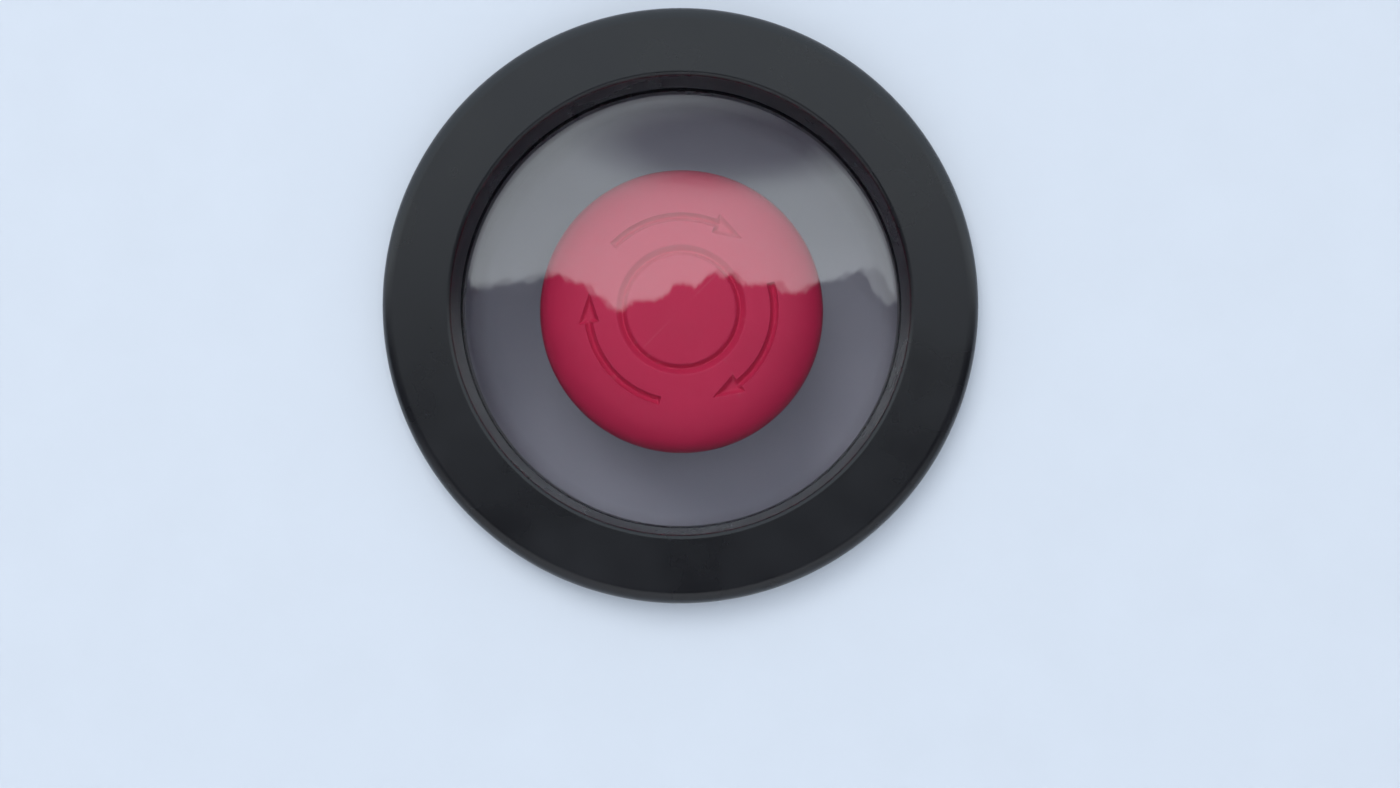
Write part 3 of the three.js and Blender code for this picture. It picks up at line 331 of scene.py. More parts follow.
def spread_node(tree, value, low, high, start=0.3, end=0.7):
    spread = tree.nodes.new("ShaderNodeMapRange")
    spread.inputs["From Min"].default_value = start
    spread.inputs["From Max"].default_value = end
    spread.inputs["To Min"].default_value = low
    spread.inputs["To Max"].default_value = high
    tree.links.new(value, spread.inputs["Value"])
    return spread.outputs["Result"]


def finish(name, tint, roughness, variation, grain, bump, metallic=0.0, wear=0.0):
    """A moulded or plated finish: uneven colour and gloss, worn edges and a fine surface grain."""
    material = bpy.data.materials.new(name)
    material.use_nodes = True
    tree = material.node_tree
    shader = tree.nodes["Principled BSDF"]
    shader.inputs["Metallic"].default_value = metallic
    broad = noise_node(tree, BROAD_SCALE)
    fine = noise_node(tree, grain, GRAIN_DETAIL)
    darker = [c * (1 - variation) for c in tint]
    lighter = [min(c * (1 + variation), 1) for c in tint]
    rubbed = [c + (WORN_LEVEL - c) * wear for c in tint]
    uneven = blend_node(tree, spread_node(tree, broad, 0, 1), darker, lighter)
    shape = tree.nodes.new("ShaderNodeNewGeometry")
    edges = spread_node(tree, shape.outputs["Pointiness"], 0, 1, EDGE_START, EDGE_FULL)
    tree.links.new(blend_node(tree, edges, uneven, rubbed), shader.inputs["Base Color"])
    tree.links.new(spread_node(tree, broad, roughness[0], roughness[1]), shader.inputs["Roughness"])
    relief = tree.nodes.new("ShaderNodeBump")
    relief.inputs["Strength"].default_value = bump
    relief.inputs["Distance"].default_value = GRAIN_HEIGHT
    tree.links.new(fine, relief.inputs["Height"])
    tree.links.new(relief.outputs["Normal"], shader.inputs["Normal"])
    return material


def clear_finish(name, tint, roughness, ior):
    """Clear moulded plastic that lamps shine through, with a faint uneven haze."""
    material = bpy.data.materials.new(name)
    material.use_nodes = True
    tree = material.node_tree
    shader = tree.nodes["Principled BSDF"]
    shader.inputs["Transmission Weight"].default_value = 1.0
    shader.inputs["IOR"].default_value = ior
    haze = noise_node(tree, 25)
    tree.links.new(spread_node(tree, haze, roughness[0], roughness[1]), shader.inputs["Roughness"])
    lighter = [min(c * 1.02, 1) for c in tint]
    tree.links.new(blend_node(tree, haze, tint, lighter), shader.inputs["Base Color"])
    through = tree.nodes.new("ShaderNodeBsdfTransparent")
    through.inputs["Color"].default_value = (*tint, 1)
    path = tree.nodes.new("ShaderNodeLightPath")
    mix = tree.nodes.new("ShaderNodeMixShader")
    tree.links.new(path.outputs["Is Shadow Ray"], mix.inputs["Fac"])
    tree.links.new(shader.outputs["BSDF"], mix.inputs[1])
    tree.links.new(through.outputs["BSDF"], mix.inputs[2])
    tree.links.new(mix.outputs["Shader"], tree.nodes["Material Output"].inputs["Surface"])
    return material


# Name, colour, roughness, colour variation, grain, bump, metallic, edge wear
MOULDED = {
    "black_rubber": ("black rubber", "rubber", (0.24, 0.34), 0.2, 2600, 0.18, 0, 0.015),
    "grey_plastic": ("grey plastic", "grey", (0.5, 0.6), 0.04, 2600, 0.08, 0, 0.15),
    "red_plastic": ("red plastic", "red", (0.38, 0.48), 0.04, 2600, 0.05, 0, 0.03),
    "black_plastic": ("black plastic", "black", (0.4, 0.5), 0.12, 1800, 0.3, 0, 0.04),
    "white_plastic": ("white plastic", "white", (0.4, 0.5), 0.03, 1800, 0.2, 0, 0.1),
    "steel": ("zinc-plated steel", "steel", (0.22, 0.38), 0.08, 1200, 0.3, 1, 0.4),
    "brass": ("brass", "brass", (0.2, 0.32), 0.06, 1200, 0.3, 1, 0.3),
}
CLEAR_ROUGHNESS, CLEAR_IOR = (0.0, 0.02), 1.585
MADE = {}


def material_of(slot):
    """The finish of a material slot, made once."""
    if slot not in MADE:
        look = bpy.context.scene.call_button_finishes
        if slot == "clear_plastic":
            MADE[slot] = clear_finish("clear plastic", look.clear, CLEAR_ROUGHNESS, CLEAR_IOR)
        else:
            name, tint, *rest = MOULDED[slot]
            MADE[slot] = finish(name, getattr(look, tint), *rest)
    return MADE[slot]


def put(name, mesh, slot, body, *nodes, degrees=32):
    """Shows a mesh as a piece of a body, in place of its CAD nodes."""
    mesh.polygons.foreach_set("use_smooth", [True] * len(mesh.polygons))
    mesh.set_sharp_from_angle(angle=math.radians(degrees))
    mesh.materials.clear()
    mesh.materials.append(material_of(slot))
    piece = bpy.data.objects.new(name, mesh)
    bpy.context.scene.collection.objects.link(piece)
    flatten = piece.modifiers.new("even_faces", "WEIGHTED_NORMAL")
    flatten.keep_sharp = True
    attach(piece, body)
    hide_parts(*nodes)
    return piece


def square_ring(name, node, slot, inner, outer, ease, around):
    """Shows a plain ring of the housing, with its corners rounded."""
    start, end = front(node), back(node)
    outline = [(inner, start), (outer, start), (outer, end), (inner, end)]
    put(name, turned(eased(outline, ease), around), slot, "housing", node)


def slotted(outline, ease, around, slot_depth, half_width):
    """Mesh of a screw along Y, with a slot in its far end."""
    radius = max(point[0] for point in outline)
    end = max(point[1] for point in outline)
    reach = 1.2 * radius
    slot = box_mesh((-reach, end - slot_depth, -half_width), (reach, end + 1 * MM, half_width))
    return combined(turned(eased(outline, ease), around), cut=[slot])


def need(condition, message):
    """Stops the build with a plain message."""
    if not condition:
        raise RuntimeError(message)


# Sizes and colours


class FinishSettings(bpy.types.PropertyGroup):
    rubber: colour("Rubber", "Colour of the surround, gaskets and seal", (0.005, 0.0052, 0.0072))
    clear: colour("Pane", "Tint of the clear pane", (0.93, 0.95, 0.97))
    grey: colour("Cup", "Colour of the grey moulded cup and covers", (0.46, 0.445, 0.5))
    red: colour("Head", "Colour of the red head and contact pushers", (0.56, 0.021, 0.075))
    black: colour("Black plastic", "Colour of the nuts, barrel and housings", (0.02, 0.02, 0.023))
    white: colour("Carrier", "Colour of the contact carrier and release cam", (0.68, 0.67, 0.63))
    steel: colour("Steel", "Colour of the zinc-plated steel", (0.62, 0.64, 0.66))
    brass: colour("Brass", "Colour of the contacts and terminals", (0.72, 0.53, 0.26))


class WindowSettings(bpy.types.PropertyGroup):
    outer_radius: length("Outer radius", "Radius of the surround at the panel", widest("surround"))
    face: depth("Face", "Depth of the surround's flat face", front("surround"))
    back: depth("Back", "Depth of the surround's rear lip", back("surround"))
    edge: length("Edge", "Rounding of the surround's outer edge", 1.7 * MM)
    draft: length("Draft", "How far the outer side leans in towards the face", 0.4 * MM)
    mouth: length("Mouth", "Radius of the opening at the face", 30.4 * MM)
    opening: length("Opening", "Radius of the opening at the pane", 30 * MM)
    mouth_edge: length("Mouth edge", "Rounding of the opening's edge", 0.6 * MM)
    skirt_bore: length("Skirt bore", "Inner radius of the skirt round the flange", 38.5 * MM)
    spigot: length("Spigot", "Radius of the part that plugs into the neck", 33.4 * MM)
    groove: length("Groove", "Radius of the pane's groove", 32.3 * MM)
    seat: length("Seat", "Play between the pane and its groove", 0.3 * MM)
    pane_radius: length("Pane radius", "Radius of the pane", widest("pane"))
    pane_front: depth("Pane front", "Depth of the pane's front face", front("pane"))
    pane_back: depth("Pane back", "Depth of the pane's back face", back("pane"))
    flange_front: depth("Flange front", "Depth of the cup's flange under the skirt", front("cup"))


class CupSettings(bpy.types.PropertyGroup):
    flange_radius: length("Flange radius", "Radius of the flange on the panel", widest("cup"))
    flange_front: depth("Flange front", "Depth of the flange's front", front("cup"))
    flange_back: depth("Flange back", "Depth of the flange's back", -1 * MM)
    neck_radius: length("Neck radius", "Outer radius of the threaded neck", 36 * MM)
    neck_bore: length("Neck bore", "Bore that takes the surround's spigot", 33.7 * MM)
    neck_back: depth("Neck back", "Depth where the thread ends", 14 * MM)
    body_radius: length("Body radius", "Outer radius behind the neck", 34.9 * MM)
    bore: length("Bore", "Inner radius behind the spigot", 33.1 * MM)
    taper: length("Taper", "How far the walls lean in by the floor", 0.5 * MM)
    floor_front: depth("Floor front", "Depth of the floor's front", 37 * MM)
    floor_back: depth("Floor back", "Depth of the floor's back", 39.5 * MM)
    fillet: length("Fillet", "Rounding between wall and floor", 2.5 * MM)
    hole: length("Hole", "Radius of the hole for the operator barrel", 11.25 * MM)
    thread_pitch: length("Thread pitch", "Pitch of the neck's thread", 1.5 * MM)
    thread_depth: length("Thread depth", "Depth of the neck's thread", 0.45 * MM)
    drain: length("Drain", "Radius of the drain hole", 2 * MM)
    seat: depth("Seat", "Depth of the step that the surround's spigot stops short of", 8.7 * MM)
    gasket_bore: length("Gasket bore", "Inner radius of the panel gasket", 36.3 * MM)
    gasket_radius: length("Gasket radius", "Outer radius of the panel gasket", 38 * MM)
    rib_start: length("Rib start", "Distance of a rib's inner end from the axis", 16.4 * MM)
    rib_width: length("Rib width", "Width of a rib", 1.6 * MM)
    rib_height: length("Rib height", "Height of a rib behind the floor", 2 * MM)
    ribs: IntProperty(name="Ribs", description="Number of ribs behind the floor", default=8, min=0)


class RingNutSettings(bpy.types.PropertyGroup):
    outer_radius: length("Outer radius", "Outer radius of the ring nut", 39.4 * MM)
    bore: length("Bore", "Inner radius of the ring nut", 36.3 * MM)
    front: depth("Front", "Depth of the face against the panel", front("ring_nut"))
    back: depth("Back", "Depth of the notched face", back("ring_nut"))
    notch_front: depth("Notch front", "Depth where the notches start", 5 * MM)
    notch_depth: length("Notch depth", "How deep the notches are", 1.3 * MM)
    notch_width: length("Notch width", "How wide the notches are", 5 * MM)
    notches: IntProperty(name="Notches", description="Number of spanner notches", default=12, min=1)


class HeadSettings(bpy.types.PropertyGroup):
    radius: length("Radius", "Radius of the mushroom head", widest("mushroom_head"))
    front: depth("Front", "Depth of the head's front", front("mushroom_head"))
    dome: length("Dome", "Depth of the domed front", 6 * MM)
    dome_power: amount("Dome power", "How square the dome's shoulder is", 2.4)
    side: length("Side", "Length of the rounded side behind the dome", 8 * MM)
    inset: length("Inset", "How far the side curves in at the back", 3 * MM)
    wall: length("Wall", "Wall of the hollow head", 2.2 * MM)
    disc: length("Disc", "Radius of the central disc", 7.6 * MM)
    groove_width: length("Groove width", "Width of the ring groove", 1.4 * MM)
    groove_depth: length("Groove depth", "Depth of the ring groove", 1 * MM)
    boss: length("Boss", "Radius of the boss that takes the cam", 6.5 * MM)
    boss_back: depth("Boss back", "Depth of the boss's end", back("mushroom_head"))
    rib_front: depth("Rib front", "Depth of a rib's front inside the head", 12.6 * MM)
    rib_back: depth("Rib back", "Depth of a rib's end", 15.2 * MM)
    rib_start: length("Rib start", "Distance of a rib's inner end from the axis", 6.2 * MM)
    rib_end: length("Rib end", "Distance of a rib's outer end from the axis", 17 * MM)
    rib_width: length("Rib width", "Width of a rib", 1.2 * MM)
    arrow_radius: length("Arrow radius", "Radius of the arrows' centre line", 12.95 * MM)
    arrow_shaft: length("Arrow shaft", "Width of an arrow's shaft", 1 * MM)
    arrow_head: length("Arrow head", "Width of an arrow's head", 2.7 * MM)
    arrow_depth: length("Arrow depth", "How deep the arrows are engraved", 0.75 * MM)
    arrow_tail: amount("Arrow tail", "Clock angle of a tail in degrees", 73.4)
    arrow_tip: amount("Arrow tip", "Clock angle of a tip in degrees", 159.5)
    arrow_sweep: amount("Arrow sweep", "Length of an arrow's head in degrees", 17.5)
    arrows: IntProperty(name="Arrows", description="Number of arrows", default=3, min=1)


class OperatorSettings(bpy.types.PropertyGroup):
    collar: length("Collar", "Radius of the barrel's collar", 14.75 * MM)
    collar_front: depth("Collar front", "Depth of the collar's front", front("operator_barrel"))
    collar_back: depth("Collar back", "Depth of the collar's back", 36.3 * MM)
    barrel: length("Barrel", "Radius of the barrel", 11 * MM)
    barrel_back: depth("Barrel back", "Depth of the barrel's end", back("operator_barrel"))
    chamber: length("Chamber", "Radius of the spring chamber", 9.6 * MM)
    chamber_front: depth("Chamber front", "Depth of the spring chamber's front", 37.7 * MM)
    bore: length("Bore", "Bore that guides the sleeve", 7.8 * MM)
    seal_radius: length("Seal radius", "Outer radius of the stem seal", widest("stem_seal"))
    seal_bore: length("Seal bore", "Inner radius of the stem seal", 7.7 * MM)
    washer: length("Washer", "Radius of the lock washer", widest("lock_washer"))
    hole: length("Hole", "Hole of the lock washer and of the nut", 11.3 * MM)
    gasket_bore: length("Gasket bore", "Inner radius of the gasket under the collar", 12.25 * MM)
    nut_flats: length("Nut flats", "Width of the nut across its flats", 27 * MM)


class SpringSettings(bpy.types.PropertyGroup):
    return_wire: length("Return wire", "Wire of the return spring", 1.2 * MM)
    twist_wire: length("Twist wire", "Wire of the twist spring", 0.5 * MM)
    contact_wire: length("Contact wire", "Wire of the contact springs", 0.5 * MM)
    return_turns: amount("Return turns", "Turns of the return spring", 4.5)
    twist_turns: amount("Twist turns", "Turns of the twist spring", 2.25)
    contact_turns: amount("Contact turns", "Turns of a contact spring", 5)


class ContactSettings(bpy.types.PropertyGroup):
    inner: length("Inner side", "Distance of a block from the middle", 0.3 * MM)
    width: length("Width", "Width of one contact block's tray", 10 * MM)
    front: depth("Front", "Depth of the blocks' front", front("contact_housing_1"))
    back: depth("Back", "Depth of the blocks' back", back("contact_housing_1"))
    half_height: length("Half height", "Half the height of a block", 19 * MM)
    wall: length("Wall", "Wall of the tray", 1.2 * MM)
    pusher: length("Pusher", "Distance of a pusher from the middle", 6.4 * MM)
    pusher_size: length("Pusher size", "Width of a pusher", 5 * MM)
    shelf_back: depth("Shelf back", "Depth of the shelf under the terminals", 65.1 * MM)
    shelf_front: depth("Shelf front", "Depth where the screw holes in the shelf start", 60 * MM)
    chamber: length("Chamber", "Half the height of the contact chamber", 8 * MM)
    hook_front: depth("Hook front", "Depth where the carrier's hook notch starts", 62.8 * MM)
    hook_back: depth("Hook back", "Depth where the carrier's hook notch ends", 64.6 * MM)
    hook_side: length("Hook side", "Distance of the hook notch's far side", 7.3 * MM)
    hook_depth: length("Hook depth", "Depth of the hook notch", 1.1 * MM)
    entry_front: depth("Entry front", "Depth where a wire entry starts", 66.2 * MM)
    entry_back: depth("Entry back", "Depth where a wire entry ends", 71.8 * MM)
    entry_half: length("Entry half width", "Half the width of a wire entry", 2.3 * MM)
    terminal: length("Terminal", "Distance of a terminal screw from the pusher", 13.3 * MM)
    screw_head: length("Screw head", "Radius of a terminal screw's head", 2.8 * MM)
    screw: length("Screw", "Radius of a terminal screw", 1.6 * MM)
    edge: length("Edge", "Rounding of the moulded edges", 0.2 * MM)


class StageSettings(bpy.types.PropertyGroup):
    camera_x: depth("Camera across", "Place of the camera to the right of the axis", 2.6 * MM)
    camera_y: depth("Camera distance", "Place of the camera in front of the panel", -250 * MM)
    camera_z: depth("Camera height", "Place of the camera above the axis", -14.2 * MM)
    focal: amount("Focal length", "Focal length in photograph pixels", 1852)
    tilt: amount("Tilt", "Upward tilt of the camera in degrees", 0.56)
    wall_hole: length("Wall hole", "Radius of the wall's hole for the neck", 36.6 * MM)
    reach: length("Reach", "How far the wall and the floor go", 1.4)
    floor_top: depth("Floor top", "Height of the floor", -0.6)
    wall: colour("Wall", "Colour of the wall behind the surround", (0.61, 0.67, 0.75))
    floor: colour("Floor", "Colour of the floor", (0.8, 0.8, 0.8))
    sky: colour("Sky", "Colour of the sky that glossy surfaces show", (0.92, 0.98, 1.0))
    ground: colour("Ground", "Colour of the ground that glossy surfaces show", (0.015, 0.015, 0.02))
    high_sky: colour("High sky", "Colour of the sky higher up", (0.54, 0.63, 0.7))
    cloud: colour("Cloud", "Colour of the dark cloud that glossy surfaces show", (0.12, 0.12, 0.15))
    high_light: colour("High light", "Soft light from above", (0.56, 0.6, 0.66))
    low_light: colour("Low light", "Soft light from below", (0.2, 0.21, 0.23))
    sky_strength: amount("Sky strength", "Strength of the sky in reflections", 1.8)
    hills_place: amount("Hills place", "Picks the shape of the hills", 2.0)
    hills_scale: amount("Hills scale", "How fine the hills are", 16)
    hills_height: amount("Hills height", "How far the hills rise and fall about the horizon", 0.03)
    horizon: amount("Horizon", "Height of the horizon's direction", 0.068)


# Pieces


class BuildWindow(bpy.types.Operator):
    """Builds the rubber surround and the clear pane in its groove"""

    bl_idname = "call_button.build_window"
    bl_label = "Surround and pane"

    def execute(self, context):
        s = context.scene.call_button_window
        radii = [s.opening, s.groove, s.spigot, s.skirt_bore, s.outer_radius]
        need(radii == sorted(radii), "the surround's radii cross")
        small = 0.15 * MM
        gap = s.flange_front - s.seat
        face = s.outer_radius - s.draft - s.edge
        mouth = s.mouth + s.mouth_edge
        outline = [
            *[(*p, 0) for p in arc(mouth, s.face + s.mouth_edge, s.mouth_edge, 180, 270, 8)],
            *[(*p, 0) for p in arc(face, s.face + s.edge, s.edge, 270, 358, 14)],
            (s.outer_radius, 0, small),
            (s.skirt_bore, 0),
            (s.skirt_bore, gap),
            (s.spigot, gap),
            (s.spigot, s.back - 0.8 * MM),
            (s.spigot - 0.8 * MM, s.back),
            (s.opening, s.back),
            (s.opening, s.pane_back + s.seat),
            (s.groove, s.pane_back + s.seat),
            (s.groove, s.pane_front - s.seat),
            (s.opening, s.pane_front - s.seat),
        ]
        put("surround_rubber", turned(eased(outline, small), 256), "black_rubber", "window", "surround")
        pane = [
            (0, s.pane_front),
            (s.pane_radius, s.pane_front, 0.4 * MM),
            (s.pane_radius, s.pane_back, 0.4 * MM),
            (0, s.pane_back),
        ]
        put("pane_clear", turned(eased(pane, small, 4), 256), "clear_plastic", "window", "pane")
        return {"FINISHED"}


class BuildCup(bpy.types.Operator):
    """Builds the grey cup with its threaded neck, ribs and drain, and the panel gasket"""

    bl_idname = "call_button.build_cup"
    bl_label = "Cup and gasket"

    def execute(self, context):
        s = context.scene.call_button_cup
        need(s.bore < s.neck_bore < s.neck_radius < s.flange_radius, "the cup's radii cross")
        thread_front = s.flange_back + 1.2 * MM
        rows = int((s.neck_back - thread_front) / s.thread_pitch * 8)
        thread = [
            (s.neck_radius, thread_front + (s.neck_back - 0.4 * MM - thread_front) * i / rows, 0)
            for i in range(rows + 1)
        ]
        floor_radius = s.body_radius - s.taper - s.fillet
        floor_bore = s.bore - s.taper - s.fillet
        outline = [
            (s.neck_bore, s.flange_front),
            (s.flange_radius, s.flange_front),
            (s.flange_radius, s.flange_back),
            (s.neck_radius - s.thread_depth, s.flange_back),
            (s.neck_radius - s.thread_depth, thread_front - 0.2 * MM, 0),
            *thread,
            (s.neck_radius - s.thread_depth, s.neck_back - 0.2 * MM, 0),
            (s.neck_radius - s.thread_depth, s.neck_back),
            (s.body_radius, s.neck_back),
            *[(*p, 0) for p in arc(floor_radius, s.floor_back - s.fillet, s.fillet, 0, 90, 10)],
            (s.hole, s.floor_back),
            (s.hole, s.floor_front),
            *[(*p, 0) for p in arc(floor_bore, s.floor_front - s.fillet, s.fillet, 90, 0, 10)],
            (s.bore, s.seat),
            (s.neck_bore, s.seat),
        ]

        def threaded(radius, along, turn):
            on_thread = np.abs(radius - s.neck_radius) < 1e-6
            phase = (along / s.thread_pitch - turn / (2 * math.pi)) % 1
            low = np.clip(np.abs(phase - 0.5) * 2.6 - 0.3, 0, 1)
            return np.where(on_thread, radius - s.thread_depth * low, radius), along

        shell = turned(eased(outline, 0.2 * MM), 192, threaded)
        drain_depth = s.floor_front - s.fillet - s.drain
        drain = rod_mesh(s.drain, 0, s.neck_radius)
        for corner in drain.vertices:
            y, z = corner.co.y, corner.co.z
            corner.co.y = drain_depth + z
            corner.co.z = -y
        shell = combined(shell, cut=[drain])
        half, root, crest = s.rib_width / 2, s.floor_back - 0.3 * MM, s.floor_back + s.rib_height
        rib = box_mesh((-half, root, s.rib_start), (half, crest, floor_radius))
        rib = softened(rib, 0.25 * MM, steps=3)
        ribs = [rotated(rib, 360 / s.ribs * i) for i in range(s.ribs)]
        put("cup_moulded", together([shell, *ribs]), "grey_plastic", "housing", "cup")
        radii = (s.gasket_bore, s.gasket_radius)
        square_ring("panel_gasket_ring", "panel_gasket", "black_rubber", *radii, 0.15 * MM, 192)
        return {"FINISHED"}


class BuildRingNut(bpy.types.Operator):
    """Builds the notched ring nut behind the panel"""

    bl_idname = "call_button.build_ring_nut"
    bl_label = "Ring nut"

    def execute(self, context):
        s = context.scene.call_button_ring_nut
        need(s.bore < s.outer_radius - s.notch_depth, "the notches cut through the ring nut")
        floor = s.outer_radius - s.notch_depth
        half = math.asin(s.notch_width / 2 / s.outer_radius)
        pitch = 2 * math.pi / s.notches
        steps = [-pitch / 2 + (pitch / 2 - half) * i / 5 for i in range(5)]
        lead, side = 0.004, 0.0003
        steps += [-half - lead, -half, -half + side, *[half * i / 4 for i in range(-3, 4)]]
        steps += [half - side, half, half + lead]
        steps += [half + (pitch / 2 - half) * i / 5 for i in range(1, 5)]
        angles = [pitch * i + step for i in range(s.notches) for step in sorted(steps)]
        ease = 0.4 * MM
        outline = [
            (s.bore + ease, s.front),
            (s.outer_radius - ease, s.front),
            *arc(s.outer_radius - ease, s.front + ease, ease, 285, 360, 4),
            (s.outer_radius, s.notch_front),
            (s.outer_radius, s.notch_front + 0.05 * MM),
            *arc(s.outer_radius - ease, s.back - ease, ease, 0, 90, 4),
            (s.bore + ease, s.back),
            (s.bore, s.back - ease),
            (s.bore, s.front + ease),
        ]

        def notched(radius, along, turn):
            local = (turn + pitch / 2) % pitch - pitch / 2
            inside = (np.abs(local) < half - side / 2) & (along > s.notch_front + 0.01 * MM)
            return np.where(inside, np.minimum(radius, floor / np.cos(local)), radius), along

        mesh = turned(outline, angles, notched)
        put("ring_nut_moulded", mesh, "black_plastic", "housing", "ring_nut", degrees=40)
        return {"FINISHED"}


def arrow_distance(x, z, corners):
    """Signed distance to an arrow's outline, negative inside."""
    least = np.full(x.shape, 1.0)
    inside = np.zeros(x.shape, bool)
    for (ax, az), (bx, bz) in zip(corners, corners[1:] + corners[:1]):
        ex, ez = bx - ax, bz - az
        t = np.clip(((x - ax) * ex + (z - az) * ez) / (ex * ex + ez * ez), 0, 1)
        least = np.minimum(least, np.hypot(x - ax - t * ex, z - az - t * ez))
        crosses = (az > z) != (bz > z)
        height = ez if abs(ez) > 1e-12 else 1e-12
        inside ^= crosses & (x < ax + (z - az) * ex / height)
    return np.where(inside, -least, least)


class BuildHead(bpy.types.Operator):
    """Builds the hollow red mushroom head with its ring groove and engraved arrows"""

    bl_idname = "call_button.build_head"
    bl_label = "Mushroom head"

    def arrow(self, s, turn):
        """Corners of one turning arrow, from its tail clockwise to its tip."""
        neck = s.arrow_tip - s.arrow_sweep
        angles = [s.arrow_tail + (neck - s.arrow_tail) * i / 24 for i in range(25)]
        path = [(s.arrow_radius + s.arrow_shaft / 2, angle) for angle in angles]
        path += [(s.arrow_radius + s.arrow_head / 2, neck), (s.arrow_radius, s.arrow_tip)]
        path += [(s.arrow_radius - s.arrow_head / 2, neck)]
        path += [(s.arrow_radius - s.arrow_shaft / 2, angle) for angle in reversed(angles)]
        points = [(radius, math.radians(angle + turn)) for radius, angle in path]
        return [(radius * math.sin(angle), radius * math.cos(angle)) for radius, angle in points]

    def execute(self, context):
        s = context.scene.call_button_head
        groove = s.disc + s.groove_width
        need(groove < s.arrow_radius - s.arrow_head / 2, "the arrows reach the ring groove")

        def dome(radius, offset=0.0):
            share = min(radius / s.radius, 1) ** s.dome_power
            return s.front + s.dome * (1 - (1 - share) ** (1 / s.dome_power)) + offset

        floor = dome(s.disc) + s.groove_depth
        band = s.arrow_head / 2 + 0.25 * MM
        inner, outer = s.arrow_radius - band, s.arrow_radius + band
        radii = [groove + (inner - groove) * i / 6 for i in range(1, 6)]
        radii += list(np.linspace(inner, outer, 33))
        rim = [outer + (s.radius - outer) * math.sin(math.pi / 2 * i / 16) for i in range(1, 17)]
        widest_depth = s.front + s.dome
        head_back = widest_depth + s.side
        rim_back = s.radius - s.inset
        hollow = s.radius - s.wall
        side = [
            (rim_back + s.inset * math.cos(t), widest_depth + s.side * math.sin(t))
            for t in np.linspace(0, math.pi / 2, 13)[1:]
        ]
        under = [s.boss + (hollow * 0.94 - s.boss) * i / 8 for i in range(8, -1, -1)]
        outline = [
            (0, s.front, 0),
            (s.disc * 0.5, dome(s.disc * 0.5), 0),
            (s.disc, dome(s.disc), 0.3 * MM),
            (s.disc + s.groove_width * 0.4, floor, 0.3 * MM),
            (groove, dome(groove), 0.35 * MM),
            *[(r, dome(r), 0) for r in [*radii, *rim]],
            *[(*p, 0) for p in side[:-1]],
            (*side[-1], 0.3 * MM),
            (rim_back - 1.2 * MM, head_back, 0.3 * MM),
            (hollow, widest_depth, 0.6 * MM),
            *[(r, dome(r, s.wall), 0) for r in under],
            (s.boss, s.boss_back, 0.3 * MM),
            (0, s.boss_back, 0),
        ]
        arrows = [self.arrow(s, 360 / s.arrows * i) for i in range(s.arrows)]
        slope = s.arrow_head / 3.6

        def engraved(radius, along, turn):
            x, z = radius * np.sin(turn), radius * np.cos(turn)
            on_dome = (along < widest_depth - 0.5 * MM) & (radius < outer + MM)
            on_dome &= radius > groove + 0.1 * MM
            nearest = np.min([arrow_distance(x, z, corners) for corners in arrows], axis=0)
            share = np.clip((0.1 * MM - nearest) / slope, 0, 1)
            share = share * (2 - share)
            return radius, along + np.where(on_dome, s.arrow_depth * share, 0)

        shell = turned(eased(outline, 0.3 * MM, 4), 720, engraved)
        half = s.rib_width / 2
        rib = box_mesh((-half, s.rib_front, s.rib_start), (half, s.rib_back, s.rib_end))
        ribs = [rotated(rib, 60 * i) for i in range(6)]
        mesh = together([shell, *ribs])
        put("mushroom_head_moulded", mesh, "red_plastic", "head", "mushroom_head", degrees=50)
        return {"FINISHED"}


class BuildPushAction(bpy.types.Operator):
    """Builds the release cam, the push sleeve and the sleeve's cap"""

    bl_idname = "call_button.build_push_action"
    bl_label = "Push and twist action"

    def execute(self, context):
        for node, slot, body in (
            ("release_cam", "white_plastic", "head"),
            ("push_sleeve", "black_plastic", "plunger"),
            ("sleeve_cap", "black_plastic", "plunger"),
        ):
            mesh = softened(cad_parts[node].data, 0.15 * MM)
            put(node + "_moulded", mesh, slot, body, node)
        return {"FINISHED"}


class BuildSprings(bpy.types.Operator):
    """Builds the return spring, the twist spring and the two contact springs"""

    bl_idname = "call_button.build_springs"
    bl_label = "Springs"

    def execute(self, context):
        s = context.scene.call_button_springs
        low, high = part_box("return_spring")
        mesh = coil_mesh(high.x - s.return_wire / 2, s.return_wire, low.y, high.y, s.return_turns)
        spring = put("return_spring_wire", mesh, "steel", "housing", "return_spring")
        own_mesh(spring)
        low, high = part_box("twist_spring")
        mesh = coil_mesh(high.z - s.twist_wire / 2, s.twist_wire, low.y, high.y, s.twist_turns)
        put("twist_spring_wire", mesh, "steel", "plunger", "twist_spring")
        for number in (1, 2):
            low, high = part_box(f"contact_spring_{number}")
            middle = (low + high) / 2
            radius = (high.x - low.x - s.contact_wire) / 2
            place = (middle.x, middle.z)
            mesh = coil_mesh(radius, s.contact_wire, low.y, high.y, s.contact_turns, place, 32, 10)
            name, node = f"contact_spring_wire_{number}", f"contact_spring_{number}"
            spring = put(name, mesh, "steel", "housing", node)
            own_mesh(spring)
        return {"FINISHED"}


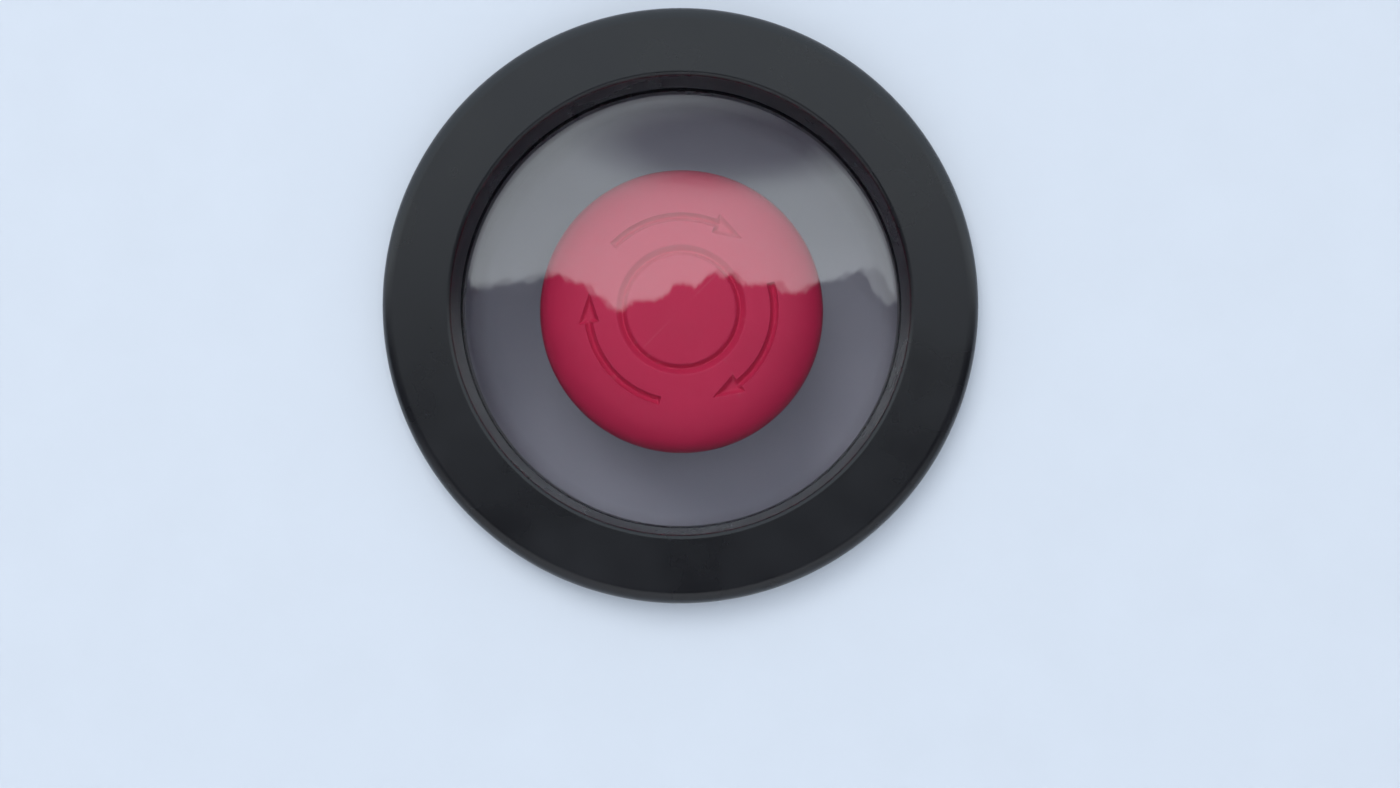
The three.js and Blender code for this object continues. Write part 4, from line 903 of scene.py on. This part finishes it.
class BuildBarrel(bpy.types.Operator):
    """Builds the operator barrel with its collar, seal and gasket"""

    bl_idname = "call_button.build_barrel"
    bl_label = "Operator barrel"

    def execute(self, context):
        s = context.scene.call_button_operator
        need(s.bore < s.chamber < s.barrel < s.collar, "the barrel's radii cross")
        pocket = s.seal_radius + 0.3 * MM
        pocket_back = back("stem_seal") + 0.3 * MM
        outline = [
            (pocket, s.collar_front),
            (s.collar, s.collar_front, 1.4 * MM),
            (s.collar, s.collar_back),
            (s.barrel, s.collar_back),
            (s.barrel, s.barrel_back),
            (s.chamber, s.barrel_back),
            (s.chamber, s.chamber_front),
            (s.bore, s.chamber_front),
            (s.bore, pocket_back),
            (pocket, pocket_back),
        ]
        barrel = turned(eased(outline, 0.25 * MM, 5), 144)
        put("operator_barrel_moulded", barrel, "black_plastic", "housing", "operator_barrel")
        seal_front, seal_back = front("stem_seal"), back("stem_seal")
        seal = [
            (s.seal_bore, seal_front, 0.8 * MM),
            (s.seal_radius, seal_front, 0.4 * MM),
            (s.seal_radius, seal_back, 0.4 * MM),
            (s.seal_bore, seal_back, 0.8 * MM),
        ]
        ring = turned(eased(seal, 0.3 * MM, 4), 128)
        put("stem_seal_ring", ring, "black_rubber", "housing", "stem_seal")
        radii = (s.gasket_bore, s.collar)
        square_ring("bezel_gasket_ring", "bezel_gasket", "black_rubber", *radii, 0.1 * MM, 128)
        return {"FINISHED"}


class BuildBarrelNut(bpy.types.Operator):
    """Builds the lock washer and the hexagon nut behind the cup's floor"""

    bl_idname = "call_button.build_barrel_nut"
    bl_label = "Washer and nut"

    def execute(self, context):
        s = context.scene.call_button_operator
        need(s.hole < s.nut_flats / 2, "the nut's hole is wider than the nut")
        square_ring("lock_washer_ring", "lock_washer", "steel", s.hole, s.washer, 0.18 * MM, 144)
        start, end = front("barrel_nut"), back("barrel_nut")
        corner = s.nut_flats / math.sqrt(3)
        ease = 0.4 * MM
        outline = [
            (s.hole + ease, start),
            (s.nut_flats / 2 - 0.3 * MM, start),
            *[(corner, start + ease + (end - start - 2 * ease) * i / 12) for i in range(13)],
            (s.nut_flats / 2 - 0.3 * MM, end),
            (s.hole + ease, end),
            (s.hole, end - ease),
            (s.hole, start + ease),
        ]

        def hexagonal(radius, along, turn):
            local = (turn % (math.pi / 3)) - math.pi / 6
            flat = s.nut_flats / 2 / np.cos(local)
            edge = np.minimum(along - start, end - along)
            chamfer = s.nut_flats / 2 - 0.3 * MM + edge * math.sqrt(3)
            outside = radius > s.nut_flats / 2 + 0.1 * MM
            return np.where(outside, np.minimum(flat, chamfer), radius), along

        nut = turned(outline, 192, hexagonal)
        put("barrel_nut_moulded", nut, "black_plastic", "housing", "barrel_nut", degrees=25)
        return {"FINISHED"}


class BuildCarrier(bpy.types.Operator):
    """Builds the contact carrier and the two screws that clamp it on the barrel"""

    bl_idname = "call_button.build_carrier"
    bl_label = "Contact carrier"

    def execute(self, context):
        carrier = softened(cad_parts["contact_carrier"].data, 0.3 * MM)
        put("contact_carrier_moulded", carrier, "white_plastic", "housing", "contact_carrier")
        for number in (1, 2):
            node = f"clamp_screw_{number}"
            low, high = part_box(node)
            centre = (low + high) / 2
            radius = (high.x - low.x) / 2
            side = 1 if number == 1 else -1
            reach = high.z if number == 1 else -low.z
            tip = low.z if number == 1 else -high.z
            outline = [(0, tip), (radius, tip, 0.4 * MM), (radius, reach, 0.3 * MM), (0, reach)]
            screw = slotted(outline, 0.3 * MM, 48, 1 * MM, 0.3 * MM)
            for corner in screw.vertices:
                x, y, z = corner.co
                corner.co = (x, centre.y - side * z, side * y)
            put(f"clamp_screw_turned_{number}", screw, "steel", "housing", node)
        return {"FINISHED"}


class BuildContactBlocks(bpy.types.Operator):
    """Builds the trays, covers, pushers and bridges of the two contact blocks"""

    bl_idname = "call_button.build_contact_blocks"
    bl_label = "Contact blocks"

    def execute(self, context):
        s = context.scene.call_button_contacts
        low, high = s.inner, s.inner + s.width
        gap = 0.3 * MM
        half = s.half_height
        open_side = high + gap
        floor = low + s.wall
        size = s.pusher_size / 2 + gap
        cuts = [
            box_mesh((floor, s.front + s.wall, -s.chamber), (open_side, s.back - s.wall, s.chamber)),
            box_mesh((floor, s.shelf_back, s.wall - half), (open_side, s.back - s.wall, half - s.wall)),
            box_mesh((s.pusher - size, s.front - gap, -size), (open_side, s.front + s.wall + gap, size)),
        ]
        for side in (-1, 1):
            centre = (s.pusher, side * s.terminal)
            hook = sorted((side * (half - s.hook_depth), side * (half + gap)))
            entry = sorted((side * (half - s.wall - gap), side * (half + gap)))
            cuts += [
                rod_mesh(s.screw + gap, s.shelf_front, s.shelf_back + gap, centre),
                rod_mesh(s.screw_head + gap, s.back - s.wall - gap, s.back + gap, centre),
                box_mesh((low - gap, s.hook_front, hook[0]), (s.hook_side, s.hook_back, hook[1])),
                box_mesh(
                    (s.pusher - s.entry_half, s.entry_front, entry[0]),
                    (s.pusher + s.entry_half, s.entry_back, entry[1]),
                ),
            ]
        block = box_mesh((low, s.front, -half), (high, s.back, half))
        tray = softened(combined(block, cut=cuts), s.edge)
        for number, turn in ((1, 0), (2, 180)):
            name, node = f"contact_tray_{number}", f"contact_housing_{number}"
            put(name, rotated(tray, turn), "black_plastic", "housing", node)
            slide = f"contact_slide_{number}"
            for node, slot, body, edge in (
                (f"contact_cover_{number}", "grey_plastic", "housing", 0.25 * MM),
                (f"contact_pusher_{number}", "red_plastic", slide, 0.25 * MM),
                (f"contact_bridge_{number}", "brass", slide, 0.1 * MM),
            ):
                put(node + "_moulded", softened(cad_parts[node].data, edge), slot, body, node)
        return {"FINISHED"}


class BuildTerminals(bpy.types.Operator):
    """Builds the brass contact strips and their slotted screws"""

    bl_idname = "call_button.build_terminals"
    bl_label = "Terminals"

    def execute(self, context):
        s = context.scene.call_button_contacts
        for number in (1, 2):
            for side in ("a", "b"):
                strip = f"terminal_{number}{side}"
                mesh = softened(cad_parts[strip].data, 0.08 * MM)
                put(strip + "_strip", mesh, "brass", "housing", strip)
                node = f"terminal_screw_{number}{side}"
                low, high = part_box(node)
                centre = (low + high) / 2
                head_front = high.y - 2.4 * MM
                outline = [
                    (0, low.y),
                    (s.screw, low.y, 0.4 * MM),
                    (s.screw, head_front, 0.1 * MM),
                    (s.screw_head, head_front, 0.3 * MM),
                    (s.screw_head, high.y, 0.5 * MM),
                    (0, high.y),
                ]
                screw = slotted(outline, 0.2 * MM, 64, 1.1 * MM, 0.35 * MM)
                for corner in screw.vertices:
                    corner.co.x += centre.x
                    corner.co.z += centre.z
                put(node + "_turned", screw, "steel", "housing", node)
        return {"FINISHED"}


# Stage


def area_lamp(name, place, aim, size, power, tint, shines):
    lamp = bpy.data.lights.new(name, "AREA")
    lamp.shape = "DISK"
    lamp.size = size
    lamp.energy = power
    lamp.color = tint
    holder = bpy.data.objects.new(name, lamp)
    holder.location = place
    holder.rotation_euler = (Vector(aim) - Vector(place)).to_track_quat("-Z", "Y").to_euler()
    holder.visible_glossy = holder.visible_transmission = shines
    bpy.context.scene.collection.objects.link(holder)
    return holder


def stage_piece(name, mesh, tint):
    mesh.materials.append(finish(name, tint, (0.7, 0.8), 0.015, 600, 0.1))
    piece = bpy.data.objects.new(name, mesh)
    bpy.context.scene.collection.objects.link(piece)
    return piece


class BuildStage(bpy.types.Operator):
    """Builds the wall, the floor, the soft lights, the world and the camera"""

    bl_idname = "call_button.build_stage"
    bl_label = "Stage"

    def above_hills(self, tree, s, across, height):
        """1 above a line of hills and 0 below it."""
        level = tree.nodes.new("ShaderNodeCombineXYZ")
        tree.links.new(across, level.inputs["X"])
        level.inputs["Z"].default_value = s.hills_place
        hills = tree.nodes.new("ShaderNodeTexNoise")
        hills.inputs["Scale"].default_value = s.hills_scale
        hills.inputs["Detail"].default_value = HILLS_DETAIL
        tree.links.new(level.outputs["Vector"], hills.inputs["Vector"])
        low, high = s.horizon - s.hills_height, s.horizon + s.hills_height
        above = tree.nodes.new("ShaderNodeMath")
        above.operation = "SUBTRACT"
        tree.links.new(height, above.inputs[0])
        tree.links.new(spread_node(tree, hills.outputs["Fac"], low, high), above.inputs[1])
        return spread_node(tree, above.outputs[0], 0, 1, 0, HILLS_EDGE)

    def cloud(self, tree, direction):
        """1 in the middle of a soft cloud above the hills and 0 away from it."""
        patch = tree.nodes.new("ShaderNodeMapping")
        patch.inputs["Scale"].default_value = CLOUD_SCALE
        patch.inputs["Location"].default_value = CLOUD_PLACE
        tree.links.new(direction, patch.inputs["Vector"])
        cloud = tree.nodes.new("ShaderNodeTexGradient")
        cloud.gradient_type = "SPHERICAL"
        tree.links.new(patch.outputs["Vector"], cloud.inputs["Vector"])
        return spread_node(tree, cloud.outputs["Fac"], 0, 1, *CLOUD_EDGE)

    def world(self, s):
        """White to the camera, a sky over hills to glossy rays, and a soft light otherwise."""
        world = bpy.data.worlds.new("studio")
        bpy.context.scene.world = world
        world.use_nodes = True
        tree = world.node_tree
        background = tree.nodes["Background"]
        place = tree.nodes.new("ShaderNodeTexCoord")
        parts = tree.nodes.new("ShaderNodeSeparateXYZ")
        tree.links.new(place.outputs["Generated"], parts.inputs["Vector"])
        height = parts.outputs["Z"]
        view = blend_node(
            tree,
            self.above_hills(tree, s, parts.outputs["X"], height),
            s.ground,
            blend_node(
                tree,
                self.cloud(tree, place.outputs["Generated"]),
                blend_node(tree, spread_node(tree, height, 0, 1, *SKY_FADE), s.sky, s.high_sky),
                s.cloud,
            ),
        )
        soft = blend_node(tree, spread_node(tree, height, 0, 1, *LIGHT_FADE), s.low_light, s.high_light)
        path = tree.nodes.new("ShaderNodeLightPath")
        shown = blend_node(tree, path.outputs["Is Glossy Ray"], soft, view)
        plain = blend_node(tree, path.outputs["Is Camera Ray"], shown, (1, 1, 1))
        tree.links.new(plain, background.inputs["Color"])
        strength = spread_node(tree, path.outputs["Is Glossy Ray"], 1, s.sky_strength, 0, 1)
        tree.links.new(strength, background.inputs["Strength"])

    def camera(self, s):
        camera = bpy.data.cameras.new("camera")
        camera.sensor_width = 36
        camera.sensor_fit = "HORIZONTAL"
        camera.lens = camera.sensor_width * s.focal / PHOTO_WIDTH
        camera.clip_start = 0.01
        holder = bpy.data.objects.new("camera", camera)
        holder.location = (s.camera_x, s.camera_y, s.camera_z)
        holder.rotation_euler = (math.radians(90 + s.tilt), 0, 0)
        bpy.context.scene.collection.objects.link(holder)
        bpy.context.scene.camera = holder

    def execute(self, context):
        s = context.scene.call_button_stage
        need(s.camera_y < front("surround"), "the camera stands behind the panel")
        face, back_face = 0.05 * MM, 4 * MM
        outline = [(s.wall_hole, face), (0.06, face), (s.reach, face)]
        outline += [(s.reach, back_face), (s.wall_hole, back_face)]
        stage_piece("wall", turned(outline, 192), s.wall)
        floor = box_mesh((-s.reach, -s.reach, s.floor_top - 0.02), (s.reach, s.reach, s.floor_top))
        stage_piece("floor", floor, s.floor)
        for lamp in LAMPS:
            area_lamp(*lamp)
        self.world(s)
        self.camera(s)
        context.scene.view_settings.view_transform = "Standard"
        return {"FINISHED"}


# Add-on


BUILDERS = (
    BuildWindow,
    BuildCup,
    BuildRingNut,
    BuildHead,
    BuildPushAction,
    BuildSprings,
    BuildBarrel,
    BuildBarrelNut,
    BuildCarrier,
    BuildContactBlocks,
    BuildTerminals,
    BuildStage,
)

SETTINGS = {
    "call_button_finishes": FinishSettings,
    "call_button_window": WindowSettings,
    "call_button_cup": CupSettings,
    "call_button_ring_nut": RingNutSettings,
    "call_button_head": HeadSettings,
    "call_button_operator": OperatorSettings,
    "call_button_springs": SpringSettings,
    "call_button_contacts": ContactSettings,
    "call_button_stage": StageSettings,
}


class CallButtonPanel(bpy.types.Panel):
    """Sizes, colours and build steps of the call button"""

    bl_idname = "VIEW3D_PT_call_button"
    bl_label = "Call Button"
    bl_space_type = "VIEW_3D"
    bl_region_type = "UI"
    bl_category = "Call Button"

    def draw(self, context):
        layout = self.layout
        for builder in BUILDERS:
            layout.operator(builder.bl_idname)
        for name in SETTINGS:
            group = getattr(context.scene, name)
            column = layout.column(align=True)
            for item in group.bl_rna.properties:
                if item.identifier not in {"rna_type", "name"}:
                    column.prop(group, item.identifier)


def register():
    for cls in (*SETTINGS.values(), *BUILDERS, CallButtonPanel):
        bpy.utils.register_class(cls)
    for name, cls in SETTINGS.items():
        setattr(bpy.types.Scene, name, PointerProperty(type=cls))


def unregister():
    for name in SETTINGS:
        delattr(bpy.types.Scene, name)
    for cls in reversed((*SETTINGS.values(), *BUILDERS, CallButtonPanel)):
        bpy.utils.unregister_class(cls)


def main():
    register()
    for builder in BUILDERS:
        group, step = builder.bl_idname.split(".")
        result = getattr(getattr(bpy.ops, group), step)()
        need(result == {"FINISHED"}, f"{builder.bl_label} wasn't built")


if __name__ == "__main__":
    main()
